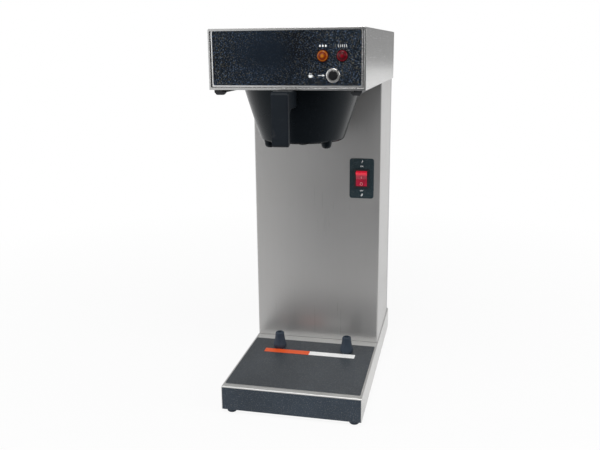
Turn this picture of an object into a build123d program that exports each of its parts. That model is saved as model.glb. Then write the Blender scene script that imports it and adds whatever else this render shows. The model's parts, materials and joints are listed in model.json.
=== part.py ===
from build123d import *
import os
from math import asin, cos, radians, sin, sqrt

os.makedirs("parts", exist_ok=True)

# Overall sizes, in millimetres
width = 216.0
base_depth = 386.0
base_height = 38.5
foot_height = 8.0
bay_depth = 210.0
bay_height = 444.5
head_height = 81.0
tower_inset = 1.5
tower_rear_setback = 6.0
handle_reach = 35.0
inlet_reach = 14.0

# Sheet metal
sheet = 1.2
inside_bend = 0.8
overlay = 0.8
fit_gap = 0.1
seat_gap = 0.3

# Base
front_lip = 2.3
front_panel_side = 1.0
base_flange = 20.0
bottom_plate = 1.2
deck_border_front = 10.4
deck_border_side = 3.5
deck_panel_to_tower = 20.0
deck_corner = 2.0
strip_length = 153.4
strip_width = 13.8
strip_to_posts = 0.3
strip_thickness = 0.3

# Rubber feet and airpot posts
foot_from_side = 12.5
foot_from_front = 13.0
foot_top_radius = 8.5
foot_bottom_radius = 7.5
foot_recess = 3.5
foot_edge = 1.2
post_spacing = 115.4
post_off_centre = 2.9
post_from_tower = 51.5
post_height = 28.0
post_base_radius = 9.4
post_belly_radius = 11.0
post_waist_radius = 8.6
post_top_radius = 7.5
post_recess = 5.0
post_crown = 2.2

# Screws and nuts
screw_radius = 2.0
screw_head_radius = 3.6
screw_head_height = 2.2
case_screw_length = 7.0
nut_height = 3.2
nut_radius = 3.9

# Tower
tower_overlap = 25.0
tower_seam = 0.9
cover_depth = 24.0
cover_inset = 0.5
cover_overlap = 8.0
tower_flange = 14.0
tower_screw_from_front = 31.5
tower_screw_from_rear = 21.0
vent_count = 6
vent_length = 46.0
vent_height = 3.0
vent_pitch = 9.0

# Rocker switch
switch_from_side = 30.6
switch_below_head = 155.5
switch_plate_width = 40.0
switch_plate_height = 66.5
switch_plate_corner = 4.0
switch_bezel_width = 25.5
switch_bezel_height = 31.6
switch_bezel_proud = 2.2
switch_body_width = 24.2
switch_body_height = 30.4
switch_body_depth = 19.0
rocker_width = 18.0
rocker_radius = 12.9
rocker_gap = 0.25
rocker_swing = 9.0
rocker_pivot_depth = 2.6
rocker_end_proud = 3.0
rocker_middle_proud = 1.2
rocker_depth = 7.0
rocker_pin_radius = 1.2
rocker_pin_gap = 0.05
rocker_pin_length = 1.3
terminal_width = 6.3
terminal_thickness = 0.8
terminal_length = 8.0

# Head
rim_side = 2.6
rim_bottom = 3.2
rim_top = 3.0
groove_side = 1.8
groove_bottom = 1.0
groove_top = 0.2
ring_side = 1.6
ring_bottom = 1.9
plate_setback = 0.8
plate_depth = 12.0
control_overlay_thickness = 0.5
overlay_corner = 2.0
hood_return = 24.0
floor_rise = 6.0
floor_front = 26.0
floor_foot = 12.0
floor_flange = 12.0
bracket_height = 12.0

# Lamps and brew button
lamp_from_side = 31.2
lamp_pitch = 26.1
lamp_below_top = 36.3
lamp_radius = 8.0
lamp_dome = 6.0
lamp_body_radius = 6.2
lamp_body_length = 26.0
button_from_side = 43.2
button_above_bottom = 19.4
button_flange_radius = 9.5
button_flange_proud = 3.2
button_barrel_radius = 8.0
button_cap_radius = 6.4
button_cap_length = 9.0
button_cap_proud = 1.6
button_bore_gap = 0.1
button_stem_radius = 2.6
button_travel = 3.0
button_wall = 2.0
button_wire = 0.6
button_coils = 5
panel_nut_height = 2.5
panel_nut_wall = 2.6
contact_block_size = 17.0
contact_block_depth = 14.0

# Brew funnel and its rails
funnel_front_gap = 14.0
funnel_side_gap = 17.0
funnel_flange = 1.6
funnel_rim = 5.0
funnel_flank_inset = 11.4
funnel_flank_drop = 38.0
funnel_bottom_inset = 23.1
funnel_drop = 73.5
funnel_belly = 5.0
funnel_corner = 7.0
funnel_wall = 3.0
funnel_under_hood = 0.4
outlet_radius = 5.5
outlet_bore = 1.9
outlet_length = 7.5
funnel_foot_inset = 8.4
funnel_foot_angle = 38.8
funnel_foot_radius = 8.6
funnel_foot_tip = 6.6
funnel_foot_drop = 6.8
rib_count = 12
rib_thickness = 2.0
rib_depth = 3.0
rib_from_rim = 14.0
rail_bearing = 4.0
rail_side_gap = 5.5
rail_gap = 0.4
rail_ledge = 1.2
rail_from_front = 4.5
rail_foot_length = 8.0
rail_foot_drop = 7.0
rail_foot_tip = 9.0

# Funnel handle
handle_top_width = 23.5
handle_bottom_width = 22.5
handle_height = 72.5
handle_arm = 24.0
handle_grip = 10.0
handle_edge = 2.5
handle_corner = 4.5
handle_inner_corner = 12.0
boss_proud = 0.5
boss_inset = 2.0
boss_seat = 7.0
handle_screw_length = 16.0
handle_screw_pitch = 12.0

# Spray head
spray_radius = 30.0
spray_height = 3.6
spray_wall = 1.2
spray_hole_radius = 1.1
spray_ring_spacing = 8.0
spray_ring_count = 3
spray_ring_holes = 6
spray_ring_more_holes = 4
spray_tail_radius = 6.0
spray_bore = 3.6
spray_barb_radius = 5.0
spray_barb_height = 14.0
outlet_barb_height = 5.5
fitting_flange_radius = 12.0
fitting_flange = 2.0
hose_wall = 2.4
hose_bend = 16.0
hose_from_top = 11.0

# Water tank
tank_side_gap = 28.5
tank_end_gap = 6.4
tank_height = 150.0
tank_wall = 1.0
tank_top_from_head_top = 37.0
tank_flange_width = 8.0
tank_flange = 1.5
gasket_thickness = 2.0
lid_screw_count = 8
heater_radius = 4.0
heater_bend_inset = 5.0
heater_above_bottom = 18.0
heater_above_lid = 14.0
heater_bush_radius = 8.0
heater_bush_height = 6.0
probe_radius = 2.0
probe_depth = 45.0
probe_above_lid = 12.0
bush_radius = 5.0
bush_height = 5.0
cutout_radius = 8.0
cutout_height = 9.0

# Places on the tank lid, as shares of the tank's radius
outlet_port_share = -0.57
fill_port_share = 0.57
heater_share = (0.36, 0.11)
probe_share = (-0.54, -0.31)
bulb_share = (0.54, -0.31)
cutout_share = (0.47, 0.51)

# Thermostat
thermostat_width = 30.0
thermostat_depth = 26.0
thermostat_height = 44.0
thermostat_below_tank = 80.0
bulb_radius = 3.0
bulb_length = 90.0
capillary_radius = 1.0
capillary_bend = 8.0

# Water inlet and valve
inlet_from_side = 24.0
inlet_above_deck = 44.0
inlet_thread_radius = 5.5
inlet_hex = 6.0
inlet_hex_radius = 8.0
inlet_tail_radius = 6.0
inlet_tail_length = 12.0
valve_length = 42.0
valve_half_width = 16.0
valve_half_height = 14.0
valve_passage = 3.0
outlet_passage = 1.5
seat_bore = 1.8
seat_ring = 2.8
seat_rise = 1.5
side_passage = 0.9
core_bore = 5.0
core_wall = 1.4
core_height = 36.0
plunger_gap = 0.08
plunger_length = 26.0
plunger_spring_radius = 3.6
plunger_wire = 0.6
plunger_coils = 5
coil_height = 32.0
coil_half_width = 15.0
fill_tube_radius = 4.0
fill_tube_wall = 1.0
fill_tube_bend = 12.0
fill_tube_forward = 16.0
fill_tube_below_top = 16.0
fill_tube_depth = 25.0

# Electrics
board_width = 90.0
board_height = 70.0
board_thickness = 1.6
board_above_deck = 100.0
standoff_length = 8.0
standoff_radius = 3.0
board_margin = 6.0
relay_size = (18.0, 28.0, 22.0)
transformer_size = (24.0, 34.0, 30.0)
capacitor_radius = 6.0
capacitor_length = 16.0
terminal_block_x = 10.0
terminal_block_size = (70.0, 22.0, 20.0)
terminal_block_from_rear = 20.0
terminal_hole_radius = 3.0
terminal_ways = 5
gland_from_side = 44.5
gland_above_deck = 34.0
gland_bore = 4.5
gland_tail_radius = 8.0
gland_flange_radius = 12.0
gland_flange = 4.0
gland_tail_length = 12.0

# Levels and planes worked out from the sizes
half_width = width / 2
half_tower = half_width - tower_inset
front_y = handle_reach - (handle_reach + base_depth + inlet_reach) / 2
rear_y = front_y + base_depth
tower_y = front_y + bay_depth
cover_y = rear_y - tower_rear_setback
flange_y = cover_y - sheet
shoulder_y = cover_y - cover_depth - seat_gap
base_z = foot_height
plate_top_z = base_z + bottom_plate
deck_z = base_z + base_height
deck_top_z = deck_z + overlay
head_z = deck_z + bay_height
head_top_z = head_z + head_height
tower_top_z = head_z + tower_overlap
cover_top_z = head_z + cover_overlap
bend = inside_bend + sheet
joggle = cover_inset + sheet + fit_gap
base_wall_front_y = front_y + overlay
screw_hole = screw_radius + fit_gap
funnel_flange_radius = half_width - funnel_side_gap
funnel_top_radius = funnel_flange_radius - funnel_rim
funnel_flank_radius = funnel_top_radius - funnel_flank_inset
funnel_bottom_radius = funnel_top_radius - funnel_bottom_inset
rail_inner = funnel_flange_radius - rail_bearing
rail_outer = half_width - rail_side_gap
sides = (-1, 1)


# Shared shapes
def block(x, y, z):
    """Box between the two ends given for each axis."""
    spans = [sorted(pair) for pair in (x, y, z)]
    size = [high - low for low, high in spans]
    middle = [(low + high) / 2 for low, high in spans]
    return Pos(*middle) * Box(*size)


def pillar(radius, z, place=(0, 0)):
    """Upright round bar between two heights."""
    low, high = sorted(z)
    return Pos(place[0], place[1], (low + high) / 2) * Cylinder(radius, high - low)


def bar(radius, y, x, z):
    """Round bar along Y between two depths."""
    low, high = sorted(y)
    return Pos(x, (low + high) / 2, z) * Rot(X=90) * Cylinder(radius, high - low)


def turned(profile, place=(0, 0)):
    """Solid turned about an upright axis from radius and height pairs."""
    outline = Polyline(*[(radius, 0, height) for radius, height in profile], close=True)
    return Pos(place[0], place[1], 0) * revolve(make_face(outline), Axis.Z)


def tube(points, radius, bend_radius):
    """Round bar along straight runs joined by tangent arcs."""
    path = FilletPolyline(*points, radius=bend_radius)
    return sweep(Plane(origin=path @ 0, z_dir=path % 0) * Circle(radius), path=path)


def pan_screw(length):
    """Pan head screw, its seat at the origin and its shank along minus Z."""
    head = Pos(0, 0, screw_head_height / 2) * Cylinder(screw_head_radius, screw_head_height)
    head = fillet(head.edges().group_by(Axis.Z)[-1], screw_head_height * 0.45)
    slot = screw_head_radius * 1.1
    for turn in (0, 90):
        cross = Rot(Z=turn) * Box(slot, screw_head_radius * 0.25, screw_head_height)
        head -= Pos(0, 0, screw_head_height) * cross
    return head + Pos(0, 0, -length / 2) * Cylinder(screw_radius, length)


def hex_nut(z, place):
    """Hexagon nut with its lower face at the given height."""
    blank = extrude(RegularPolygon(nut_radius, 6), nut_height)
    blank -= Pos(0, 0, nut_height / 2) * Cylinder(screw_hole, nut_height)
    return Pos(place[0], place[1], z) * blank


def group(solids):
    """Several separate solids in one node."""
    return Compound(children=list(solids))


# Base
foot_places = [
    (side * (half_width - foot_from_side), y)
    for side in sides
    for y in (front_y + foot_from_front, rear_y - foot_from_front)
]
post_y = tower_y - post_from_tower
post_places = [(post_off_centre + side * post_spacing / 2, post_y) for side in sides]
tower_screw_places = [
    (side * (half_tower - sheet - tower_flange / 2), y)
    for side in sides
    for y in (tower_y + tower_screw_from_front, shoulder_y - tower_screw_from_rear)
]


def base_tray():
    skin = block((-half_width, half_width), (front_y, rear_y), (base_z, deck_z))
    top_edges = skin.edges().group_by(Axis.Z)[-1]
    rear_edges = skin.edges().filter_by(Axis.Z).group_by(Axis.Y)[-1]
    skin = fillet(top_edges + rear_edges, bend)
    inner_x = half_width - sheet
    inner_y = (base_wall_front_y + sheet, rear_y - sheet)
    cavity = block((-inner_x, inner_x), inner_y, (base_z, deck_z - sheet))
    flange_z = (plate_top_z, plate_top_z + sheet)
    flange = block((-inner_x, inner_x), inner_y, flange_z)
    opening_x = inner_x - base_flange
    opening_y = (inner_y[0] + base_flange, inner_y[1] - base_flange)
    flange -= block((-opening_x, opening_x), opening_y, flange_z)
    panel_x = half_width - front_panel_side + fit_gap
    recess = block((-panel_x, panel_x), (front_y, base_wall_front_y), (base_z, deck_z - front_lip))
    tray = skin - cavity - recess + flange
    for place in post_places + tower_screw_places:
        tray -= pillar(screw_hole, (deck_z - sheet, deck_z), place)
    for place in foot_places:
        tray -= pillar(screw_hole, flange_z, place)
    return tray


def base_bottom_plate():
    edge_x = half_width - sheet - seat_gap
    edge_y = (base_wall_front_y + sheet + seat_gap, rear_y - sheet - seat_gap)
    plate = block((-edge_x, edge_x), edge_y, (base_z, plate_top_z))
    for place in foot_places:
        plate -= pillar(screw_hole, (base_z, plate_top_z), place)
    return plate


def base_front_panel():
    panel_x = half_width - front_panel_side
    top = deck_z - front_lip - fit_gap
    return block((-panel_x, panel_x), (front_y, base_wall_front_y), (base_z, top))


def deck_panel():
    panel_width = width - 2 * deck_border_side
    panel_y = (front_y + deck_border_front, tower_y - deck_panel_to_tower)
    middle_y = (panel_y[0] + panel_y[1]) / 2
    outline = RectangleRounded(panel_width, panel_y[1] - panel_y[0], deck_corner)
    panel = Pos(0, middle_y, deck_z) * extrude(outline, overlay)
    for place in post_places:
        panel -= pillar(screw_hole, (deck_z, deck_top_z), place)
    return panel


def strip(side):
    far = post_y - post_base_radius - strip_to_posts
    ends = (0, side * strip_length / 2)
    return block(ends, (far - strip_width, far), (deck_top_z, deck_top_z + strip_thickness))


def airpot_post(place):
    top = deck_top_z + post_height
    belly = ThreePointArc(
        (post_base_radius, 0, deck_top_z),
        (post_belly_radius - 0.3, 0, deck_top_z + post_height * 0.1),
        (post_belly_radius, 0, deck_top_z + post_height * 0.24),
    )
    flank = ThreePointArc(
        belly @ 1,
        (post_waist_radius, 0, deck_top_z + post_height * 0.55),
        (post_top_radius, 0, deck_top_z + post_height * 0.88),
    )
    crown = ThreePointArc(
        flank @ 1,
        (post_top_radius - post_crown * 0.35, 0, top - post_height * 0.035),
        (post_top_radius - post_crown, 0, top),
    )
    bore = screw_hole
    recess = screw_head_radius + fit_gap * 2
    seat = top - post_recess
    rest = Polyline(
        crown @ 1,
        (recess, 0, top),
        (recess, 0, seat),
        (bore, 0, seat),
        (bore, 0, deck_top_z),
        belly @ 0,
    )
    body = revolve(make_face([belly, flank, crown, rest]), Axis.Z)
    return Pos(place[0], place[1], 0) * body


def post_screws():
    length = post_height - post_recess + overlay + sheet + nut_height
    seat = deck_top_z + post_height - post_recess
    return group(Pos(x, y, seat) * pan_screw(length) for x, y in post_places)


def rubber_foot(place):
    recess = screw_head_radius + fit_gap * 2
    profile = (
        (screw_hole, foot_recess),
        (recess, foot_recess),
        (recess, 0),
        (foot_bottom_radius - foot_edge, 0),
        (foot_bottom_radius, foot_edge),
        (foot_top_radius, foot_height),
        (screw_hole, foot_height),
    )
    return turned(profile, place)


def foot_screws():
    length = foot_height - foot_recess + bottom_plate + sheet + nut_height
    turned_up = Rot(X=180) * pan_screw(length)
    return group(Pos(x, y, foot_recess) * turned_up for x, y in foot_places)


def hex_nuts():
    feet = [hex_nut(plate_top_z + sheet, place) for place in foot_places]
    posts = [hex_nut(deck_z - sheet - nut_height, place) for place in post_places]
    return group(feet + posts)


# Tower
switch_x = half_tower - switch_from_side
switch_z = head_z - switch_below_head
inlet_x = inlet_from_side - half_tower
inlet_z = deck_z + inlet_above_deck
gland_x = half_tower - gland_from_side
gland_z = deck_z + gland_above_deck
bracket_z = (tower_top_z - bracket_height, tower_top_z)
cover_screw_x = half_tower - joggle - sheet - tower_flange / 2
cover_screw_z = [deck_z + (cover_top_z - deck_z) * share for share in (0.05, 0.5, 0.95)]
cover_screw_places = [(side * cover_screw_x, z) for side in sides for z in cover_screw_z]
hood_screw_x = half_tower * 0.6
hood_screw_z = tower_top_z - bracket_height / 2
floor_screw_x = (-half_tower * 0.7, 0, half_tower * 0.7)
floor_z = head_z + floor_rise
floor_top_z = floor_z + sheet
floor_screw_z = floor_top_z + floor_flange / 2


def tower_shell():
    z = (deck_z, tower_top_z)
    skin = block((-half_tower, half_tower), (tower_y, shoulder_y), z)
    skin = fillet(skin.edges().filter_by(Axis.Z).group_by(Axis.Y)[0], bend)
    skin = chamfer([edge for edge in skin.edges().group_by(Axis.Z)[0] if edge.center().Y < shoulder_y - 1], tower_seam)
    inner_x = half_tower - sheet
    inside = block((-inner_x, inner_x), (tower_y + sheet, shoulder_y), z)
    inside = fillet(inside.edges().filter_by(Axis.Z).group_by(Axis.Y)[0], inside_bend)
    shell = skin - inside
    outer = half_tower - joggle
    for side in sides:
        shell += block((side * (outer - sheet), side * half_tower), (shoulder_y - sheet, shoulder_y), z)
        shell += block((side * (outer - sheet), side * outer), (shoulder_y - sheet, flange_y), z)
        lip = (side * (outer - sheet - tower_flange), side * outer)
        shell += block(lip, (flange_y - sheet, flange_y), z)
        foot = (side * (inner_x - tower_flange), side * inner_x)
        foot_y = (tower_y + sheet, shoulder_y - sheet)
        shell += block(foot, foot_y, (deck_z, deck_z + sheet))
    half_w = switch_body_width / 2 + fit_gap
    half_h = switch_body_height / 2 + fit_gap
    window_x = (switch_x - half_w, switch_x + half_w)
    window_z = (switch_z - half_h, switch_z + half_h)
    shell -= block(window_x, (tower_y, tower_y + sheet), window_z)
    for place in tower_screw_places:
        shell -= pillar(screw_hole, (deck_z, deck_z + sheet), place)
    for x, height in cover_screw_places:
        shell -= bar(screw_hole, (flange_y - sheet, flange_y), x, height)
    for x in floor_screw_x:
        shell -= bar(screw_hole, (tower_y, tower_y + sheet), x, floor_screw_z)
    return shell


def rear_cover():
    half = half_tower - cover_inset
    z = (deck_z + fit_gap, cover_top_z)
    near = cover_y - cover_depth
    skin = block((-half, half), (near, cover_y), z)
    skin = fillet(skin.edges().filter_by(Axis.Z).group_by(Axis.Y)[-1], bend)
    inner = half - sheet
    cover = skin - block((-inner, inner), (near, flange_y), z)
    for x, height in cover_screw_places:
        cover -= bar(screw_hole, (flange_y, cover_y), x, height)
    cover -= bar(inlet_tail_radius + fit_gap, (flange_y, cover_y), inlet_x, inlet_z)
    cover -= bar(gland_tail_radius + fit_gap, (flange_y, cover_y), gland_x, gland_z)
    top_vent = head_z - 4 * vent_pitch
    for row in range(vent_count):
        for side in sides:
            middle = side * vent_length * 0.75
            height = top_vent - row * vent_pitch
            ends = (middle - vent_length / 2, middle + vent_length / 2)
            cover -= block(ends, (flange_y, cover_y), (height, height + vent_height))
    return cover


def case_screws():
    outward = Rot(X=-90) * pan_screw(case_screw_length)
    rear = [Pos(x, cover_y, z) * outward for x, z in cover_screw_places]
    hood = [Pos(side * hood_screw_x, rear_y, hood_screw_z) * outward for side in sides]
    return group(rear + hood)


# Rocker switch
plate_face_y = tower_y - overlay
bezel_face_y = plate_face_y - switch_bezel_proud
pivot_y = bezel_face_y + rocker_pivot_depth
cavity_half_width = rocker_width / 2 + rocker_gap
cavity_half_height = rocker_radius + rocker_gap


def switch_plate():
    outline = RectangleRounded(switch_plate_width, switch_plate_height, switch_plate_corner)
    plate = Pos(switch_x, tower_y, switch_z) * Rot(X=90) * extrude(outline, overlay)
    half_w = switch_body_width / 2 + fit_gap
    half_h = switch_body_height / 2 + fit_gap
    window_x = (switch_x - half_w, switch_x + half_w)
    window_z = (switch_z - half_h, switch_z + half_h)
    return plate - block(window_x, (plate_face_y, tower_y), window_z)


def switch_housing():
    def centred(half_w, half_h, y):
        across = (switch_x - half_w, switch_x + half_w)
        return block(across, y, (switch_z - half_h, switch_z + half_h))

    bezel = centred(switch_bezel_width / 2, switch_bezel_height / 2, (bezel_face_y, plate_face_y))
    bezel = fillet(bezel.edges().group_by(Axis.Y)[0], switch_bezel_proud * 0.3)
    body_end = tower_y + switch_body_depth
    body = centred(switch_body_width / 2, switch_body_height / 2, (plate_face_y, body_end))
    swept = asin(rocker_depth / rocker_radius) + radians(rocker_swing)
    cavity_end = pivot_y + rocker_radius * sin(swept) + 2 * rocker_gap
    cavity = centred(cavity_half_width, cavity_half_height, (bezel_face_y, cavity_end))
    pin_reach = rocker_width / 2 + rocker_pin_length + rocker_pin_gap
    pin_bore = Rot(Y=90) * Cylinder(rocker_pin_radius + rocker_pin_gap, 2 * pin_reach)
    return bezel + body - cavity - Pos(switch_x, pivot_y, switch_z) * pin_bore


def switch_rocker():
    end_depth = -rocker_end_proud - rocker_pivot_depth
    middle_depth = -rocker_middle_proud - rocker_pivot_depth
    end_height = sqrt(rocker_radius**2 - end_depth**2)
    back_height = sqrt(rocker_radius**2 - rocker_depth**2)
    face = Polyline(
        (end_depth, end_height),
        (middle_depth, 0),
        (end_depth, -end_height),
    )
    lower = ThreePointArc(
        (end_depth, -end_height),
        (0, -rocker_radius),
        (rocker_depth, -back_height),
    )
    back = Line((rocker_depth, -back_height), (rocker_depth, back_height))
    upper = ThreePointArc(
        (rocker_depth, back_height),
        (0, rocker_radius),
        (end_depth, end_height),
    )
    side_plane = Plane(origin=(-rocker_width / 2, 0, 0), x_dir=(0, 1, 0), z_dir=(1, 0, 0))
    outline = side_plane * make_face([face, lower, back, upper])
    body = extrude(outline, rocker_width)
    pin_length = rocker_width + 2 * rocker_pin_length
    body += Rot(Y=90) * Cylinder(rocker_pin_radius, pin_length)
    return Pos(switch_x, pivot_y, switch_z) * Rot(X=rocker_swing) * body


def switch_terminals():
    back = tower_y + switch_body_depth
    blades = []
    for side in sides:
        for row in (-switch_body_height * 0.25, switch_body_height * 0.2):
            middle = switch_x + side * switch_body_width * 0.25
            across = (middle - terminal_thickness / 2, middle + terminal_thickness / 2)
            up = (switch_z + row - terminal_width / 2, switch_z + row + terminal_width / 2)
            blades.append(block(across, (back, back + terminal_length), up))
    return group(blades)


# Head
funnel_y = front_y + funnel_front_gap + funnel_flange_radius
hood_inner_x = half_width - sheet
face_y = front_y + plate_setback - control_overlay_thickness
plate_y = front_y + plate_setback
plate_back_y = plate_y + plate_depth
floor_front_y = front_y + floor_front
lamp_x = (half_width - lamp_from_side - lamp_pitch, half_width - lamp_from_side)
lamp_z = head_top_z - lamp_below_top
button_x = half_width - button_from_side
button_z = head_z + button_above_bottom
lamp_hole = lamp_body_radius + fit_gap
button_hole = button_barrel_radius + fit_gap
web_inner = funnel_flange_radius + rail_gap
rail_middle = (web_inner + rail_outer) / 2
lip_screw_y = floor_front_y - floor_foot * 0.5
rail_step_y = floor_front_y + sheet + seat_gap
rail_screw_y = [rail_step_y + (tower_y - rail_step_y) * share for share in (0.1, 0.5, 0.9)]
rail_screw_places = [(side * rail_middle, y) for side in sides for y in rail_screw_y]
lip_screw_places = [(side * rail_middle, lip_screw_y) for side in sides]


def head_hood():
    skin = block((-half_width, half_width), (front_y, rear_y), (head_z, head_top_z))
    long_edges = skin.edges().filter_by(Axis.Y).group_by(Axis.Z)[-1]
    rear_edges = skin.edges().filter_by(Axis.Z).group_by(Axis.Y)[-1]
    rear_top = skin.edges().filter_by(Axis.X).group_by(Axis.Z)[-1].sort_by(Axis.Y)[-1]
    skin = fillet([*long_edges, *rear_edges, rear_top], bend)
    inner_y = (front_y + sheet, rear_y - sheet)
    cavity = block((-hood_inner_x, hood_inner_x), inner_y, (head_z, head_top_z - sheet))
    window_x = half_width - rim_side
    window_z = (head_z + rim_bottom, head_top_z - rim_top)
    window = block((-window_x, window_x), (front_y, front_y + sheet), window_z)
    lip_y = (front_y, front_y + hood_return)
    lip = block((-hood_inner_x, hood_inner_x), lip_y, (head_z, head_z + sheet))
    hood = skin - cavity - window + lip
    for place in lip_screw_places:
        hood -= pillar(screw_hole, (head_z, head_z + sheet), place)
    for side in sides:
        hood -= bar(screw_hole, (rear_y - sheet, rear_y), side * hood_screw_x, hood_screw_z)
    return hood


def head_floor():
    half = hood_inner_x - fit_gap
    floor_y = (floor_front_y, tower_y)
    pan = block((-half, half), floor_y, (floor_z, floor_top_z))
    step_y = (floor_front_y, floor_front_y + sheet)
    pan += block((-half, half), step_y, (head_z + sheet, floor_top_z))
    foot_y = (floor_front_y - floor_foot, floor_front_y + sheet)
    pan += block((-half, half), foot_y, (head_z + sheet, head_z + 2 * sheet))
    flange_top = floor_top_z + floor_flange
    for side in sides:
        pan += block((side * (half - sheet), side * half), floor_y, (floor_z, flange_top))
    pan += block((-half, half), (tower_y - sheet, tower_y), (floor_z, flange_top))
    pan -= pillar(spray_tail_radius + fit_gap, (floor_z, floor_top_z), (0, funnel_y))
    for place in rail_screw_places:
        pan -= pillar(screw_hole, (floor_z, floor_top_z), place)
    for place in lip_screw_places:
        pan -= pillar(screw_hole, (head_z + sheet, head_z + 2 * sheet), place)
    for x in floor_screw_x:
        pan -= bar(screw_hole, (tower_y - sheet, tower_y), x, floor_screw_z)
    return pan


def inner_screws():
    screw = pan_screw(case_screw_length)
    backward = Rot(X=90) * screw
    tower = [Pos(x, y, deck_z + sheet) * screw for x, y in tower_screw_places]
    rails = [Pos(x, y, floor_top_z) * screw for x, y in rail_screw_places]
    lip = [Pos(x, y, head_z + 2 * sheet) * screw for x, y in lip_screw_places]
    floor = [Pos(x, tower_y - sheet, floor_screw_z) * backward for x in floor_screw_x]
    return group(tower + rails + lip + floor)


def hood_bracket():
    half = half_tower - joggle
    outer_y = (flange_y, rear_y - sheet)
    channel = block((-half, half), outer_y, bracket_z)
    inner_y = (flange_y + sheet, rear_y - 2 * sheet)
    channel -= block((-half, half), inner_y, (bracket_z[0], bracket_z[1] - sheet))
    for side in sides:
        channel -= bar(screw_hole, outer_y, side * hood_screw_x, hood_screw_z)
    return channel


def control_plate():
    half = half_width - rim_side - groove_side
    z = (head_z + rim_bottom + groove_bottom, head_top_z - rim_top - groove_top)
    pan = block((-half, half), (plate_y, plate_back_y), z)
    inner = half - sheet
    inner_z = (z[0] + sheet, z[1] - sheet)
    pan -= block((-inner, inner), (plate_y + sheet, plate_back_y), inner_z)
    reach_x = hood_inner_x - fit_gap
    reach_z = (head_z + sheet + fit_gap, head_top_z - sheet - fit_gap)
    flange_span = (plate_back_y - sheet, plate_back_y)
    flange = block((-reach_x, reach_x), flange_span, reach_z)
    pan += flange - block((-inner, inner), flange_span, inner_z)
    for x in lamp_x:
        pan -= bar(lamp_hole, (plate_y, plate_y + sheet), x, lamp_z)
    return pan - bar(button_hole, (plate_y, plate_y + sheet), button_x, button_z)


def control_overlay():
    half = half_width - rim_side - groove_side - ring_side
    low = head_z + rim_bottom + groove_bottom + ring_bottom
    high = head_top_z - rim_top - groove_top
    outline = RectangleRounded(2 * half, high - low, overlay_corner)
    panel = Pos(0, plate_y, (low + high) / 2) * Rot(X=90) * extrude(outline, control_overlay_thickness)
    for x in lamp_x:
        panel -= bar(lamp_hole, (face_y, plate_y), x, lamp_z)
    return panel - bar(button_hole, (face_y, plate_y), button_x, button_z)


# Lamps and brew button
lens_stem_radius = lamp_body_radius - 1.2
lens_stem_length = lamp_body_length * 0.3


def lamp_lens(x):
    tip = face_y - lamp_dome
    crown = ThreePointArc(
        (0, tip, 0),
        (lamp_radius * 0.33, tip + lamp_dome * 0.05, 0),
        (lamp_radius * 0.58, tip + lamp_dome * 0.26, 0),
    )
    flank = ThreePointArc(
        crown @ 1,
        (lamp_radius * 0.84, tip + lamp_dome * 0.42, 0),
        (lamp_radius, face_y - lamp_dome * 0.22, 0),
    )
    rest = Polyline(
        flank @ 1,
        (lamp_radius, face_y, 0),
        (lens_stem_radius, face_y, 0),
        (lens_stem_radius, face_y + lens_stem_length, 0),
        (0, face_y + lens_stem_length, 0),
        (0, tip, 0),
    )
    return Pos(x, 0, lamp_z) * revolve(make_face([crown, flank, rest]), Axis.Y)


def lamp_bodies():
    end = face_y + lamp_body_length
    bore = lens_stem_radius + fit_gap
    bodies = []
    for x in lamp_x:
        body = bar(lamp_body_radius, (face_y, end), x, lamp_z)
        body -= bar(bore, (face_y, face_y + lens_stem_length + fit_gap), x, lamp_z)
        for side in sides:
            body += bar(terminal_thickness, (end, end + terminal_length), x + side * bore / 2, lamp_z)
        bodies.append(body)
    return group(bodies)


def panel_nuts():
    inside_y = plate_y + sheet
    stations = [(x, lamp_z, lamp_body_radius, inside_y) for x in lamp_x]
    stations.append((button_x, button_z, button_barrel_radius, inside_y))
    stations.append((gland_x, gland_z, gland_tail_radius, flange_y - panel_nut_height))
    nuts = []
    for x, z, radius, near in stations:
        span = (near, near + panel_nut_height)
        nut = bar(radius + panel_nut_wall, span, x, z)
        nuts.append(nut - bar(radius + fit_gap, span, x, z))
    return group(nuts)


button_front_y = face_y - button_flange_proud
cap_front_y = button_front_y - button_cap_proud
cap_back_y = cap_front_y + button_cap_length
cap_shoulder = button_wall
chamber_radius = button_barrel_radius - 0.8
chamber_front_y = cap_back_y - cap_shoulder - fit_gap
spring_room = button_travel + 2 * button_wire * button_coils * 0.6
chamber_back_y = cap_back_y + spring_room + button_travel
barrel_back_y = chamber_back_y + button_wall
stem_end_y = barrel_back_y + fit_gap


def button_bezel():
    bore = button_cap_radius + button_bore_gap
    bezel = bar(button_flange_radius, (button_front_y, face_y), button_x, button_z)
    bezel = fillet(bezel.edges().group_by(Axis.Y)[0], button_flange_proud * 0.35)
    bezel += bar(button_barrel_radius, (face_y, barrel_back_y), button_x, button_z)
    bezel -= bar(bore, (button_front_y, chamber_front_y), button_x, button_z)
    bezel -= bar(chamber_radius, (chamber_front_y, chamber_back_y), button_x, button_z)
    stem_bore = button_stem_radius + button_bore_gap
    return bezel - bar(stem_bore, (chamber_back_y, barrel_back_y), button_x, button_z)


def button_plunger():
    cap = bar(button_cap_radius, (cap_front_y, cap_back_y), button_x, button_z)
    cap = fillet(cap.edges().group_by(Axis.Y)[0], button_cap_proud * 0.6)
    shoulder = chamber_radius - button_bore_gap
    cap += bar(shoulder, (cap_back_y - cap_shoulder, cap_back_y), button_x, button_z)
    return cap + bar(button_stem_radius, (cap_back_y, stem_end_y), button_x, button_z)


def coil_spring(radius, wire, coils, length):
    """Helical spring along Z, its wire just clear of both end planes."""
    rise = length - 2 * wire - 2 * fit_gap
    path = Helix(pitch=rise / coils, height=rise, radius=radius)
    profile = Plane(origin=path @ 0, z_dir=path % 0) * Circle(wire / 2)
    return Pos(0, 0, wire + fit_gap) * sweep(profile, path=path, is_frenet=True)


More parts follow.
